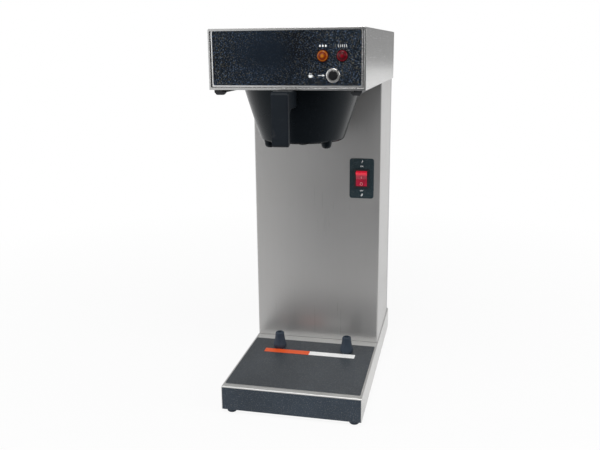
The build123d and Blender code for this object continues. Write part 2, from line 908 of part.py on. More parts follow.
def button_spring():
    radius = button_stem_radius + button_wire + seat_gap
    spring = coil_spring(radius, button_wire, button_coils, chamber_back_y - cap_back_y)
    return Pos(button_x, cap_back_y, button_z) * Rot(X=-90) * spring


def button_contact_block():
    half = contact_block_size / 2
    across = (button_x - half, button_x + half)
    up = (button_z - half, button_z + half)
    back = barrel_back_y + contact_block_depth
    contact = block(across, (barrel_back_y, back), up)
    pocket = barrel_back_y + button_travel + seat_gap
    contact -= bar(button_stem_radius + seat_gap, (barrel_back_y, pocket), button_x, button_z)
    for side in sides:
        middle = button_x + side * half / 2
        blade = (middle - terminal_thickness / 2, middle + terminal_thickness / 2)
        height = (button_z - terminal_width / 2, button_z + terminal_width / 2)
        contact += block(blade, (back, back + terminal_length), height)
    return contact


# Rails
flange_top_z = head_z - funnel_under_hood
flange_bottom_z = flange_top_z - funnel_flange
ledge_top_z = flange_bottom_z - seat_gap
ledge_bottom_z = ledge_top_z - rail_ledge
rail_front_y = front_y + rail_from_front


def rail(side):
    far = tower_y - fit_gap
    outer = (side * web_inner, side * rail_outer)
    body = block(outer, (rail_front_y, rail_step_y), (ledge_bottom_z, head_z))
    body += block(outer, (rail_step_y, far), (ledge_bottom_z, floor_z))
    inner = (side * rail_inner, side * web_inner)
    body += block(inner, (rail_front_y, far), (ledge_bottom_z, ledge_top_z))
    stop_y = funnel_y + sqrt(funnel_flange_radius**2 - rail_inner**2) + seat_gap
    body += block(inner, (stop_y, far), (ledge_bottom_z, floor_z))
    taper = (rail_outer - rail_inner - rail_foot_tip) / 2
    tip_z = head_z - rail_foot_drop
    corners = (
        (side * rail_inner, ledge_bottom_z),
        (side * (rail_inner + taper), tip_z),
        (side * (rail_outer - taper), tip_z),
        (side * rail_outer, ledge_bottom_z),
    )
    outline = make_face(Polyline(*[(x, rail_front_y, z) for x, z in corners], close=True))
    body += extrude(outline, rail_foot_length, dir=(0, 1, 0))
    places = [place for place in rail_screw_places + lip_screw_places if place[0] * side > 0]
    for place in places:
        seat = floor_top_z if place[1] > rail_step_y else head_z + 2 * sheet
        depth = seat - case_screw_length - fit_gap
        body -= pillar(screw_hole, (depth, floor_z), place)
    return body


# Spray head
gasket_z = (floor_z - spray_wall, floor_z)
spray_top_z = gasket_z[0]
spray_bottom_z = spray_top_z - spray_height


def spray_head():
    centre = (0, funnel_y)
    dish = pillar(spray_radius, (spray_bottom_z, spray_top_z), centre)
    dish = fillet(dish.edges().group_by(Axis.Z)[0], spray_wall * 0.6)
    inside = (spray_bottom_z + spray_wall, spray_top_z - spray_wall)
    dish -= pillar(spray_radius - spray_wall, inside, centre)
    dish -= pillar(spray_tail_radius + fit_gap, (inside[1], spray_top_z), centre)
    for ring in range(spray_ring_count):
        count = spray_ring_holes + ring * spray_ring_more_holes
        for spot in PolarLocations(spray_ring_spacing * (ring + 1), count):
            hole = Pos(0, funnel_y, spray_bottom_z + spray_wall / 2) * spot
            dish -= hole * Cylinder(spray_hole_radius, spray_wall)
    return dish


def spray_gasket():
    ring = pillar(fitting_flange_radius, gasket_z, (0, funnel_y))
    return ring - pillar(spray_tail_radius + fit_gap, gasket_z, (0, funnel_y))


def spray_fitting():
    centre = (0, funnel_y)
    tail_z = (spray_top_z - spray_wall, floor_top_z)
    shoulder_z = (floor_top_z, floor_top_z + fitting_flange)
    barb_z = (shoulder_z[1], shoulder_z[1] + spray_barb_height)
    body = pillar(spray_tail_radius, tail_z, centre)
    body += pillar(fitting_flange_radius, shoulder_z, centre)
    body += pillar(spray_barb_radius, barb_z, centre)
    return body - pillar(spray_bore, (tail_z[0], barb_z[1]), centre)


# Water tank
tank_y = (tower_y + flange_y) / 2
tank_flange_radius = min(half_tower - tank_side_gap, (flange_y - tower_y) / 2 - tank_end_gap)
tank_radius = tank_flange_radius - tank_flange_width
tank_top_z = head_top_z - tank_top_from_head_top
tank_bottom_z = tank_top_z - tank_height
lid_z = tank_top_z + gasket_thickness
lid_top_z = lid_z + tank_flange
lid_circle = PolarLocations(tank_radius + tank_flange_width / 2, lid_screw_count, start_angle=180 / lid_screw_count)
lid_screw_places = [(spot.position.X, tank_y + spot.position.Y) for spot in lid_circle]
outlet_port = (0, tank_y + tank_radius * outlet_port_share)
fill_port = (0, tank_y + tank_radius * fill_port_share)
heater_x = tank_radius * heater_share[0]
heater_y = tank_y + tank_radius * heater_share[1]
probe_place = (tank_radius * probe_share[0], tank_y + tank_radius * probe_share[1])
bulb_place = (tank_radius * bulb_share[0], tank_y + tank_radius * bulb_share[1])
cutout_place = (tank_radius * cutout_share[0], tank_y + tank_radius * cutout_share[1])
thermostat_y = (tower_y + tank_y) / 2
capillary_riser = (half_tower - sheet - tower_flange, thermostat_y)


def tank_shelf():
    half = half_tower - sheet
    span = (tower_y + sheet + inside_bend, shoulder_y - sheet - fit_gap)
    top = tank_bottom_z
    shelf = block((-half, half), span, (top - sheet, top))
    for side in sides:
        shelf += block((side * (half - sheet), side * half), span, (top - tower_flange, top))
    shelf -= pillar(fill_tube_radius + fit_gap, (top - sheet, top), fill_riser)
    return shelf - pillar(capillary_radius + fit_gap, (top - sheet, top), capillary_riser)


def water_tank():
    centre = (0, tank_y)
    body = pillar(tank_radius, (tank_bottom_z, tank_top_z), centre)
    body += pillar(tank_flange_radius, (tank_top_z - tank_flange, tank_top_z), centre)
    body -= pillar(tank_radius - tank_wall, (tank_bottom_z + tank_wall, tank_top_z), centre)
    for place in lid_screw_places:
        body -= pillar(screw_hole, (tank_top_z - tank_flange, tank_top_z), place)
    return body


def tank_gasket():
    span = (tank_top_z, lid_z)
    ring = pillar(tank_flange_radius, span, (0, tank_y))
    ring -= pillar(tank_radius - tank_wall, span, (0, tank_y))
    for place in lid_screw_places:
        ring -= pillar(screw_hole, span, place)
    return ring


def tank_lid():
    span = (lid_z, lid_top_z)
    lid = pillar(tank_flange_radius, span, (0, tank_y))
    for place in lid_screw_places:
        lid -= pillar(screw_hole, span, place)
    for side in sides:
        lid -= pillar(heater_radius + fit_gap, span, (side * heater_x, heater_y))
    lid -= pillar(probe_radius + fit_gap, span, probe_place)
    lid -= pillar(bulb_radius + fit_gap, span, bulb_place)
    lid -= pillar(fill_tube_radius + fit_gap, span, fill_port)
    barb_z = (lid_z, lid_top_z + outlet_barb_height)
    lid += pillar(spray_barb_radius, barb_z, outlet_port)
    return lid - pillar(spray_bore, barb_z, outlet_port)


def lid_screws():
    length = 2 * tank_flange + gasket_thickness + nut_height
    return group(Pos(x, y, lid_top_z) * pan_screw(length) for x, y in lid_screw_places)


def spray_hose():
    inner = spray_barb_radius + fit_gap / 2
    start = floor_top_z + fitting_flange + fit_gap
    finish = lid_top_z + fit_gap
    height = head_top_z - hose_from_top
    route = (
        (0, funnel_y, start),
        (0, funnel_y, height),
        (*outlet_port, height),
        (*outlet_port, finish),
    )
    return tube(route, inner + hose_wall, hose_bend) - tube(route, inner, hose_bend)


def heating_element():
    top = lid_top_z + heater_above_lid
    low = tank_bottom_z + heater_above_bottom
    corners = ((-heater_x, top), (-heater_x, low), (heater_x, low), (heater_x, top))
    element = tube([(x, heater_y, z) for x, z in corners], heater_radius, heater_x - heater_bend_inset)
    for side in sides:
        place = (side * heater_x, heater_y)
        element += pillar(heater_bush_radius, (lid_top_z, lid_top_z + heater_bush_height), place)
        element += pillar(terminal_thickness, (top, top + terminal_length), place)
    return element


def level_probe():
    rod = pillar(probe_radius, (tank_top_z - probe_depth, lid_top_z + probe_above_lid), probe_place)
    return rod + pillar(bush_radius, (lid_top_z, lid_top_z + bush_height), probe_place)


def thermal_cutoff():
    x, y = cutout_place
    top = lid_top_z + cutout_height
    disc = pillar(cutout_radius, (lid_top_z, top), cutout_place)
    for side in sides:
        middle = x + side * cutout_radius / 2
        blade = (middle - terminal_thickness / 2, middle + terminal_thickness / 2)
        width_y = (y - terminal_width / 2, y + terminal_width / 2)
        disc += block(blade, width_y, (top, top + terminal_length))
    return disc


def thermostat():
    wall = half_tower - sheet
    inner = wall - thermostat_width
    top = tank_bottom_z - thermostat_below_tank
    ends_y = (thermostat_y - thermostat_depth / 2, thermostat_y + thermostat_depth / 2)
    body = block((inner, wall), ends_y, (top - thermostat_height, top))
    over_z = lid_top_z + bush_height + capillary_bend
    route = (
        (*capillary_riser, top - 1),
        (*capillary_riser, over_z),
        (*bulb_place, over_z),
        (*bulb_place, tank_top_z - 1),
    )
    bulb = pillar(bulb_radius, (tank_top_z - bulb_length, lid_top_z), bulb_place)
    bush = pillar(bush_radius, (lid_top_z, lid_top_z + bush_height), bulb_place)
    return body + tube(route, capillary_radius, capillary_bend) + bulb + bush


# Water inlet and valve
valve_back_y = flange_y - sheet
valve_front_y = valve_back_y - valve_length
core_y = valve_back_y - valve_length / 2
core_top_z = inlet_z + valve_half_height + core_height
chamber_floor_z = inlet_z + valve_passage + 1
seat_z = chamber_floor_z + seat_rise
fill_riser = (inlet_x, valve_front_y - fill_tube_forward)
fill_socket = fill_tube_radius * 2


def inlet_fitting():
    hex_end = cover_y + inlet_hex
    tail_y = (valve_back_y - inlet_tail_length, cover_y)
    body = bar(inlet_tail_radius, tail_y, inlet_x, inlet_z)
    blank = extrude(RegularPolygon(inlet_hex_radius, 6), inlet_hex)
    body += Pos(inlet_x, hex_end, inlet_z) * Rot(X=90) * blank
    body += bar(inlet_thread_radius, (hex_end, rear_y + inlet_reach), inlet_x, inlet_z)
    return body - bar(valve_passage, (tail_y[0], rear_y + inlet_reach), inlet_x, inlet_z)


def valve_body():
    across = (inlet_x - valve_half_width, inlet_x + valve_half_width)
    up = (inlet_z - valve_half_height, inlet_z + valve_half_height)
    body = block(across, (valve_front_y, valve_back_y), up)
    centre = (inlet_x, core_y)
    body += pillar(core_bore + core_wall, (up[1], core_top_z), centre)
    body -= pillar(core_bore, (chamber_floor_z, core_top_z - core_wall), centre)
    body += pillar(seat_ring, (chamber_floor_z - seat_rise, seat_z), centre)
    body -= pillar(seat_bore, (inlet_z - seat_bore, seat_z), centre)
    tail = inlet_tail_radius + fit_gap
    body -= bar(tail, (valve_back_y - inlet_tail_length - fit_gap, valve_back_y), inlet_x, inlet_z)
    body -= bar(valve_passage, (core_y + seat_ring, valve_back_y), inlet_x, inlet_z)
    side_hole = (inlet_x, core_y + seat_ring + side_passage * 1.2)
    body -= pillar(side_passage, (inlet_z, chamber_floor_z), side_hole)
    socket = fill_tube_radius + fit_gap
    body -= bar(socket, (valve_front_y, valve_front_y + fill_socket + fit_gap), inlet_x, inlet_z)
    return body - bar(outlet_passage, (valve_front_y, core_y), inlet_x, inlet_z)


def valve_coil():
    low = inlet_z + valve_half_height
    half = coil_half_width
    centre = (inlet_x, core_y)
    winding = block((inlet_x - half, inlet_x + half), (core_y - half, core_y + half), (low, low + coil_height))
    winding = fillet(winding.edges().filter_by(Axis.Z), half * 0.3)
    return winding - pillar(core_bore + core_wall + fit_gap, (low, low + coil_height), centre)


def valve_plunger():
    start = seat_z + fit_gap
    return pillar(core_bore - plunger_gap, (start, start + plunger_length), (inlet_x, core_y))


def valve_spring():
    start = seat_z + fit_gap + plunger_length
    spring = coil_spring(plunger_spring_radius, plunger_wire, plunger_coils, core_top_z - core_wall - start)
    return Pos(inlet_x, core_y, start) * spring


def fill_tube():
    height = head_top_z - fill_tube_below_top
    x, y = fill_riser
    route = (
        (x, valve_front_y + fill_socket, inlet_z),
        (x, y, inlet_z),
        (x, y, height),
        (*fill_port, height),
        (*fill_port, tank_top_z - fill_tube_depth),
    )
    outer = tube(route, fill_tube_radius, fill_tube_bend)
    return outer - tube(route, fill_tube_radius - fill_tube_wall, fill_tube_bend)


# Electrics
def control_board():
    wall = half_tower - sheet
    board_face = wall - standoff_length
    y = (tank_y - board_width / 2, tank_y + board_width / 2)
    z = (deck_z + board_above_deck, deck_z + board_above_deck + board_height)
    board = block((board_face - board_thickness, board_face), y, z)
    pillars = []
    for corner_y in (y[0] + board_margin, y[1] - board_margin):
        for corner_z in (z[0] + board_margin, z[1] - board_margin):
            standoff = Rot(Y=90) * Cylinder(standoff_radius, standoff_length)
            pillars.append(Pos(board_face + standoff_length / 2, corner_y, corner_z) * standoff)
    inner = board_face - board_thickness
    middle_z = (z[0] + z[1]) / 2
    relay = Pos(inner - relay_size[0] / 2, y[0] + relay_size[1] * 0.75, middle_z) * Box(*relay_size)
    transformer_place = Pos(inner - transformer_size[0] / 2, y[1] - transformer_size[1] * 0.75, middle_z)
    transformer = transformer_place * Box(*transformer_size)
    can = Rot(Y=90) * Cylinder(capacitor_radius, capacitor_length)
    can = Pos(inner - capacitor_length / 2, (y[0] + y[1]) / 2, z[1] - capacitor_radius * 2) * can
    return group([board, relay, transformer, can] + pillars)


def terminal_block():
    length, depth, height = terminal_block_size
    low = deck_z
    middle = flange_y - terminal_block_from_rear
    across = (terminal_block_x - length / 2, terminal_block_x + length / 2)
    body = block(across, (middle - depth / 2, middle + depth / 2), (low, low + height))
    for way in GridLocations(length / terminal_ways, 1, terminal_ways, 1):
        hole = Cylinder(terminal_hole_radius, height * 0.6)
        body -= Pos(terminal_block_x, middle, low + height) * way * hole
    return body


def cord_gland():
    flange_end = cover_y + gland_flange
    tail_start = flange_y - gland_tail_length
    body = bar(gland_flange_radius, (cover_y, flange_end), gland_x, gland_z)
    body = fillet(body.edges().group_by(Axis.Y)[-1], gland_flange * 0.4)
    body += bar(gland_tail_radius, (tail_start, cover_y), gland_x, gland_z)
    return body - bar(gland_bore, (tail_start, flange_end), gland_x, gland_z)


# Brew funnel
flank_z = flange_bottom_z - funnel_flank_drop
floor_edge_z = flange_bottom_z - funnel_drop
funnel_floor_z = floor_edge_z - funnel_belly
outlet_tip_z = funnel_floor_z - outlet_length + 1


def funnel_shape(inset, rise, top):
    """Turned funnel body, drawn in from the outside by an inset and raised at the bottom."""
    flank = ThreePointArc(
        (funnel_top_radius - inset, 0, flange_bottom_z),
        (funnel_flank_radius - inset, 0, flank_z),
        (funnel_bottom_radius - inset, 0, floor_edge_z + rise),
    )
    corner = ThreePointArc(
        flank @ 1,
        (funnel_bottom_radius - inset - funnel_corner * 0.35, 0, floor_edge_z + rise - funnel_belly * 0.5),
        (funnel_bottom_radius - inset - funnel_corner, 0, floor_edge_z + rise - funnel_belly * 0.75),
    )
    rest = Polyline(
        corner @ 1,
        (0, 0, funnel_floor_z + rise),
        (0, 0, top),
        (funnel_top_radius - inset, 0, top),
        flank @ 0,
    )
    return Pos(0, funnel_y, 0) * revolve(make_face([flank, corner, rest]), Axis.Z)


pad_y = funnel_y - funnel_flange_radius - boss_proud
handle_low_z = flange_top_z - handle_height
handle_arm_z = flange_top_z - handle_arm
handle_front_y = front_y - handle_reach
handle_screw_seat = pad_y + boss_seat
handle_screw_heights = [handle_arm_z + (handle_arm + side * handle_screw_pitch) / 2 for side in sides]


def funnel_boss():
    """Flat pad on the funnel's front that the handle is screwed to."""
    reach = handle_top_width / 2 - boss_inset
    depth = (pad_y, funnel_y - funnel_flank_radius)
    return block((-reach, reach), depth, (handle_arm_z, flange_top_z))


def brew_funnel():
    centre = (0, funnel_y)
    body = funnel_shape(0, 0, flange_top_z)
    body += pillar(funnel_flange_radius, (flange_bottom_z, flange_top_z), centre)
    body += pillar(outlet_radius, (outlet_tip_z, funnel_floor_z + 1), centre)
    body += funnel_boss()
    peg_height = funnel_foot_drop + funnel_belly
    foot = Cone(funnel_foot_tip, funnel_foot_radius, peg_height)
    foot = fillet(foot.edges().group_by(Axis.Z)[0], funnel_foot_tip * 0.8)
    foot_z = floor_edge_z - peg_height / 2
    foot_circle = funnel_bottom_radius - funnel_foot_inset
    for angle in (-funnel_foot_angle, 180 + funnel_foot_angle, 90):
        x = foot_circle * cos(radians(angle))
        y = foot_circle * sin(radians(angle))
        body += Pos(x, funnel_y + y, foot_z) * foot
    bowl = funnel_shape(funnel_wall, funnel_wall, flange_top_z)
    body -= bowl
    core = funnel_shape(funnel_wall + rib_depth, funnel_wall, flange_top_z)
    reach = funnel_top_radius
    fins = Part()
    for turn in PolarLocations(0, rib_count):
        fin = Pos(reach * 0.75, 0, 0) * Box(reach * 0.5, rib_thickness, funnel_drop)
        fins += Pos(0, funnel_y, flange_bottom_z - rib_from_rim - funnel_drop / 2) * turn * fin
    body += (fins & bowl) - core
    head_room_y = handle_screw_seat + rib_depth + 3 * funnel_wall
    for height in handle_screw_heights:
        body -= bar(screw_hole, (pad_y, handle_screw_seat), 0, height)
        body -= bar(screw_head_radius + fit_gap, (handle_screw_seat, head_room_y), 0, height)
    return body - pillar(outlet_bore, (outlet_tip_z, funnel_floor_z + funnel_wall), centre)


def funnel_handle():
    grip_back_y = handle_front_y + handle_grip
    corners = (
        (handle_front_y, handle_low_z),
        (handle_front_y, flange_top_z),
        (pad_y, flange_top_z),
        (pad_y, handle_arm_z),
        (grip_back_y, handle_arm_z),
        (grip_back_y, handle_low_z),
    )
    reach = handle_top_width / 2
    outline = make_face(Polyline(*[(-reach, y, z) for y, z in corners], close=True))
    body = extrude(outline, handle_top_width, dir=(1, 0, 0))
    inner = body.edges().filter_by(Axis.X).sort_by_distance((0, grip_back_y, handle_arm_z))[0]
    body = fillet(inner, handle_inner_corner)
    ends = ((handle_front_y, handle_low_z), (handle_front_y, flange_top_z), (grip_back_y, handle_low_z))
    outer = [body.edges().filter_by(Axis.X).sort_by_distance((0, *end))[0] for end in ends]
    body = fillet(outer, handle_corner)
    bottom = handle_bottom_width / 2
    wedge = make_face(
        Polyline(
            (-reach, handle_front_y, flange_top_z),
            (reach, handle_front_y, flange_top_z),
            (bottom, handle_front_y, handle_low_z),
            (-bottom, handle_front_y, handle_low_z),
            close=True,
        )
    )
    body &= extrude(wedge, pad_y - handle_front_y, dir=(0, 1, 0))
    for face in (body.faces().sort_by(Axis.X)[0], body.faces().sort_by(Axis.X)[-1]):
        rim = [edge for edge in face.edges() if edge.center().Y < pad_y - boss_inset]
        body = fillet(rim, handle_edge)
    for height in handle_screw_heights:
        tip = handle_screw_seat - handle_screw_length - fit_gap
        body -= bar(screw_hole, (tip, pad_y), 0, height)
    return body


def handle_screws():
    forward = Rot(X=-90) * pan_screw(handle_screw_length)
    return group(Pos(0, handle_screw_seat, height) * forward for height in handle_screw_heights)


# Every node of the machine, each written to its own file
nodes = {
    "base_tray": base_tray(),
    "base_bottom_plate": base_bottom_plate(),
    "base_front_panel": base_front_panel(),
    "deck_panel": deck_panel(),
    "strip_orange": strip(-1),
    "strip_white": strip(1),
    "left_airpot_post": airpot_post(post_places[0]),
    "right_airpot_post": airpot_post(post_places[1]),
    "post_screws": post_screws(),
    "rubber_feet": group(rubber_foot(place) for place in foot_places),
    "foot_screws": foot_screws(),
    "hex_nuts": hex_nuts(),
    "tower_shell": tower_shell(),
    "rear_cover": rear_cover(),
    "case_screws": case_screws(),
    "inner_screws": inner_screws(),
    "switch_plate": switch_plate(),
    "switch_housing": switch_housing(),
    "switch_rocker": switch_rocker(),
    "switch_terminals": switch_terminals(),
    "head_hood": head_hood(),
    "head_floor": head_floor(),
    "hood_bracket": hood_bracket(),
    "control_plate": control_plate(),
    "control_overlay": control_overlay(),
    "amber_lens": lamp_lens(lamp_x[0]),
    "red_lens": lamp_lens(lamp_x[1]),
    "lamp_bodies": lamp_bodies(),
    "panel_nuts": panel_nuts(),
    "button_bezel": button_bezel(),
    "button_plunger": button_plunger(),
    "button_spring": button_spring(),
    "button_contact_block": button_contact_block(),
    "left_rail": rail(-1),
    "right_rail": rail(1),
    "spray_head": spray_head(),
    "spray_gasket": spray_gasket(),
    "spray_fitting": spray_fitting(),
    "spray_hose": spray_hose(),
    "brew_funnel": brew_funnel(),
    "funnel_handle": funnel_handle(),
    "handle_screws": handle_screws(),
    "tank_shelf": tank_shelf(),
    "water_tank": water_tank(),
    "tank_gasket": tank_gasket(),
    "tank_lid": tank_lid(),
    "lid_screws": lid_screws(),
    "heating_element": heating_element(),
    "level_probe": level_probe(),
    "thermostat": thermostat(),
    "thermal_cutoff": thermal_cutoff(),
    "inlet_fitting": inlet_fitting(),
    "valve_body": valve_body(),
    "valve_coil": valve_coil(),
    "valve_plunger": valve_plunger(),
    "valve_spring": valve_spring(),
    "fill_tube": fill_tube(),
    "control_board": control_board(),
    "terminal_block": terminal_block(),
    "cord_gland": cord_gland(),
}

for name, solid in nodes.items():
    export_step(solid, f"parts/{name}.step")
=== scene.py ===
"""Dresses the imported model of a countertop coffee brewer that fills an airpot.

The CAD nodes keep their shapes and get their finishes here. The printed
symbols, the switch wording and the marks on the rocker are modelled here.
"""

import json
import logging
import math
from collections.abc import Callable, Sequence
from dataclasses import dataclass, field
from enum import Enum
from functools import cache

import bpy
from mathutils import Matrix, Vector


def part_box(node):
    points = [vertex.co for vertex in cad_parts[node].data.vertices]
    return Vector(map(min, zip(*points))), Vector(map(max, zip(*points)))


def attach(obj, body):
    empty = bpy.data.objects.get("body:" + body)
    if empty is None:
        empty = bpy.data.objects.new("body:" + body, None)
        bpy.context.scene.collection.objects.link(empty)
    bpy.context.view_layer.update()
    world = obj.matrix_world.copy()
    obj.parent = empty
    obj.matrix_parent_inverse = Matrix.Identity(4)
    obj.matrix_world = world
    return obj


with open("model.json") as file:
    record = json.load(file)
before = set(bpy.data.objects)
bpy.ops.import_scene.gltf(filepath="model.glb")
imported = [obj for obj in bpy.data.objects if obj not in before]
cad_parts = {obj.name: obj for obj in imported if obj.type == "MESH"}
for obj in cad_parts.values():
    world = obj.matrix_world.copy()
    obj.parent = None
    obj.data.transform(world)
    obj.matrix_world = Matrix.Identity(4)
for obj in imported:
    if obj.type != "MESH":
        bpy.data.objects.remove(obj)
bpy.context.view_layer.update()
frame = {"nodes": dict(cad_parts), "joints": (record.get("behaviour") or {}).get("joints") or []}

log = logging.getLogger("brewer")
MM = 0.001
UP = Vector((0, 0, 1))
FRONT = Vector((0, -1, 0))

# Cosine between a face and its rounded edge, where wear begins and where it is full.
WEAR_BEGINS = 0.995
WEAR_IS_FULL = 0.85

Pair = tuple[float, float]
Triple = tuple[float, float, float]
Colour = Triple
Rgba = tuple[float, float, float, float]
Socket = bpy.types.NodeSocket
Material = bpy.types.Material
Piece = bpy.types.Object


class Grain(Enum):
    """Direction in which a sheet was brushed."""

    ACROSS = 0
    DEEP = 1
    UPRIGHT = 2


def rgba(colour: Colour, gain: float = 1.0) -> Rgba:
    """A colour with full alpha, made lighter or darker by a gain."""
    return (*(min(1.0, channel * gain) for channel in colour), 1.0)


def grey(level: float) -> Rgba:
    """A plain grey with full alpha."""
    return rgba((level,) * 3)


class Graph:
    """The shader nodes of one material or world, joined as they are added."""

    def __init__(self, owner: Material | bpy.types.World) -> None:
        """Starts an empty node tree.

        Args:
            owner: The material or world that the nodes are for.
        """
        self.owner = owner
        self.owner.use_nodes = True
        self.tree = self.owner.node_tree
        self.tree.nodes.clear()

    def add(self, kind: str, inputs: dict | None = None, **settings: object) -> bpy.types.Node:
        """Adds a node, sets it up and joins its inputs.

        Args:
            kind: Blender's name for the node type, without its ShaderNode.
            inputs: Values or output sockets by input name or index.
            **settings: Attributes of the node itself.

        Returns:
            The new node.
        """
        node = self.tree.nodes.new("ShaderNode" + kind)
        for key, value in settings.items():
            setattr(node, key, value)
        for key, value in (inputs or {}).items():
            if isinstance(value, Socket):
                self.tree.links.new(value, node.inputs[key])
            else:
                node.inputs[key].default_value = value
        return node

    def place(self, scale: Triple = (1, 1, 1), centre: Triple = (0, 0, 0)) -> Socket:
        """Object coordinates about a centre, scaled on each axis.

        Args:
            scale: Repeats per metre on each axis.
            centre: Point in the row frame that becomes the origin.

        Returns:
            The vector socket.
        """
        raw = self.add("TexCoord").outputs["Object"]
        offset = self.add("VectorMath", {0: raw, 1: centre}, operation="SUBTRACT").outputs[0]
        return self.add("Mapping", {"Vector": offset, "Scale": scale}).outputs[0]

    def noise(self, vector: Socket, scale: float = 1.0, detail: float = 3.0, rough: float = 0.5) -> Socket:
        """Fractal noise from 0 to 1."""
        inputs = {"Vector": vector, "Scale": scale, "Detail": detail, "Roughness": rough}
        return self.add("TexNoise", inputs).outputs["Fac"]

    def span(
        self, value: Socket, low: float, high: float, to_low: float = 0.0, to_high: float = 1.0
    ) -> Socket:
        """Maps a range of values to another and clamps it."""
        inputs = {"Value": value, "From Min": low, "From Max": high, "To Min": to_low, "To Max": to_high}
        return self.add("MapRange", inputs).outputs[0]

    def maths(self, operation: str, first: Socket | float, second: Socket | float) -> Socket:
        """Joins two values with one operation."""
        return self.add("Math", {0: first, 1: second}, operation=operation).outputs[0]

    def length(self, vector: Socket) -> Socket:
        """The length of a vector, such as the distance from a centre."""
        return self.add("VectorMath", {0: vector}, operation="LENGTH").outputs["Value"]

    def blend(
        self, share: Socket | float, first: Rgba | Socket, second: Rgba | Socket, mode: str = "MIX"
    ) -> Socket:
        """Mixes two colours, the first at share 0 and the second at share 1, in a blend mode."""
        inputs = {0: share, 6: first, 7: second}
        return self.add("Mix", inputs, data_type="RGBA", blend_type=mode).outputs[2]

    def rub(self, worn: Socket, share: float, whole: Socket, bare: Rgba) -> Socket:
        """Lets a share of another colour through where the edges are worn."""
        return self.blend(self.maths("MULTIPLY", worn, share), whole, bare)

    def bump(
        self, height: Socket, distance: float, strength: float = 1.0, normal: Socket | None = None
    ) -> Socket:
        """Bends the normal by a height map.

        Args:
            height: Height from 0 to 1.
            distance: Depth of the relief in metres.
            strength: Share of the effect that is kept.
            normal: The normal to start from.

        Returns:
            The normal socket.
        """
        inputs = {"Height": height, "Distance": distance, "Strength": strength}
        if normal is not None:
            inputs["Normal"] = normal
        return self.add("Bump", inputs).outputs[0]

    def edge(self, radius: float) -> tuple[Socket, Socket]:
        """Rounded edges for the light, and a mask that is 1 on those edges.

        Args:
            radius: Radius of the rounding in metres.

        Returns:
            The rounded normal and the mask.
        """
        rounded = self.add("Bevel", {"Radius": radius}, samples=8).outputs[0]
        flat = self.add("NewGeometry").outputs["Normal"]
        inputs = {0: rounded, 1: flat}
        same = self.add("VectorMath", inputs, operation="DOT_PRODUCT").outputs["Value"]
        return rounded, self.span(same, WEAR_BEGINS, WEAR_IS_FULL)

    def finish(self, inputs: dict) -> Material:
        """Ends the tree in a Principled shader.

        Args:
            inputs: The shader's values and sockets by input name.

        Returns:
            The finished material.
        """
        shader = self.add("BsdfPrincipled", inputs)
        self.add("OutputMaterial", {"Surface": shader.outputs[0]})
        return self.owner


@dataclass(frozen=True)
class Finish:
    """A surface finish, made into one material.

    In every finish a scale is a number of repeats per metre, and a depth or
    a radius is in metres.
    """

    name: str
    colour: Colour

    def graph(self) -> Graph:
        """An empty graph for the material of this finish."""
        return Graph(bpy.data.materials.new(self.name))

    def build(self) -> Material:
        """Makes the material. Each kind of finish has its own."""
        raise NotImplementedError


@cache
def material_of(finish: Finish) -> Material:
    """The material of a finish, made once and shared by the pieces that have it."""
    return finish.build()


@dataclass(frozen=True)
class BrushedSteel(Finish):
    """Stainless sheet with a brushed grain, faint handling marks and polished edges."""

    grain: Grain = Grain.UPRIGHT
    roughness: float = 0.26
    streak: float = 0.07
    smudge: float = 0.08
    relief: float = 0.35
    metallic: float = 1.0
    polish: float = 0.6
    polished: Colour = (0.86, 0.86, 0.85)
    warmth: Colour = (1.0, 0.985, 0.95)
    gloss_swing: float = 1.0
    line_length: float = 62.0 * MM
    line_scale: float = 1500.0
    line_share: float = 0.55
    band_scale: float = 150.0
    band_end_scale: float = 2.2
    band_share: float = 0.45
    cloud_scale: float = 7.0
    wipe_scale: Triple = (9.0, 9.0, 22.0)
    wipe_centre: Triple = (0.3, 0.1, 0.2)
    groove_depth: float = 0.03 * MM
    edge_radius: float = 0.7 * MM

    def stretched(self, across: float, along: float) -> Triple:
        """The scale on each axis, with its own value along the grain."""
        return tuple(along if axis == self.grain.value else across for axis in range(3))

    def build(self) -> Material:
        """Makes the brushed material.

        Returns:
            The material, with its grain along one axis of the row frame.
        """
        graph = self.graph()
        along_lines = graph.place(self.stretched(self.line_scale, 1.0 / self.line_length))
        fine = graph.noise(along_lines, detail=4.0, rough=0.65)
        along_bands = graph.place(self.stretched(self.band_scale, self.band_end_scale))
        broad = graph.noise(along_bands)
        cloud = graph.noise(graph.place(), self.cloud_scale, detail=4.0, rough=0.6)
        wipe = graph.noise(graph.place(self.wipe_scale, self.wipe_centre), detail=5.0, rough=0.7)
        rounded, worn = graph.edge(self.edge_radius)
        fine_part = graph.maths("MULTIPLY", fine, self.line_share)
        broad_part = graph.maths("MULTIPLY", broad, self.band_share)
        lines = graph.maths("ADD", fine_part, broad_part)
        tone = graph.span(lines, 0.32, 0.68, 1.0 - self.streak, 1.0 + self.streak * 0.6)
        grey_tone = graph.add("CombineColor", {0: tone, 1: tone, 2: tone}).outputs[0]
        plain = graph.blend(1.0, rgba(self.colour), grey_tone, "MULTIPLY")
        tint = tuple(channel * share for channel, share in zip(self.colour, self.warmth))
        warm = graph.blend(graph.span(cloud, 0.35, 0.75, to_high=0.35), plain, rgba(tint, 0.93))
        bright = graph.rub(worn, self.polish, warm, rgba(self.polished))
        shinier = self.roughness - 0.06 * self.gloss_swing
        duller = self.roughness + 0.08 * self.gloss_swing
        gloss = graph.span(fine, 0.25, 0.75, shinier, duller)
        hand = graph.maths("MULTIPLY", graph.span(wipe, 0.52, 0.72), self.smudge)
        return graph.finish({
            "Base Color": bright,
            "Metallic": self.metallic,
            "Roughness": graph.maths("ADD", gloss, hand),
            "Normal": graph.bump(lines, self.groove_depth, self.relief, rounded),
        })


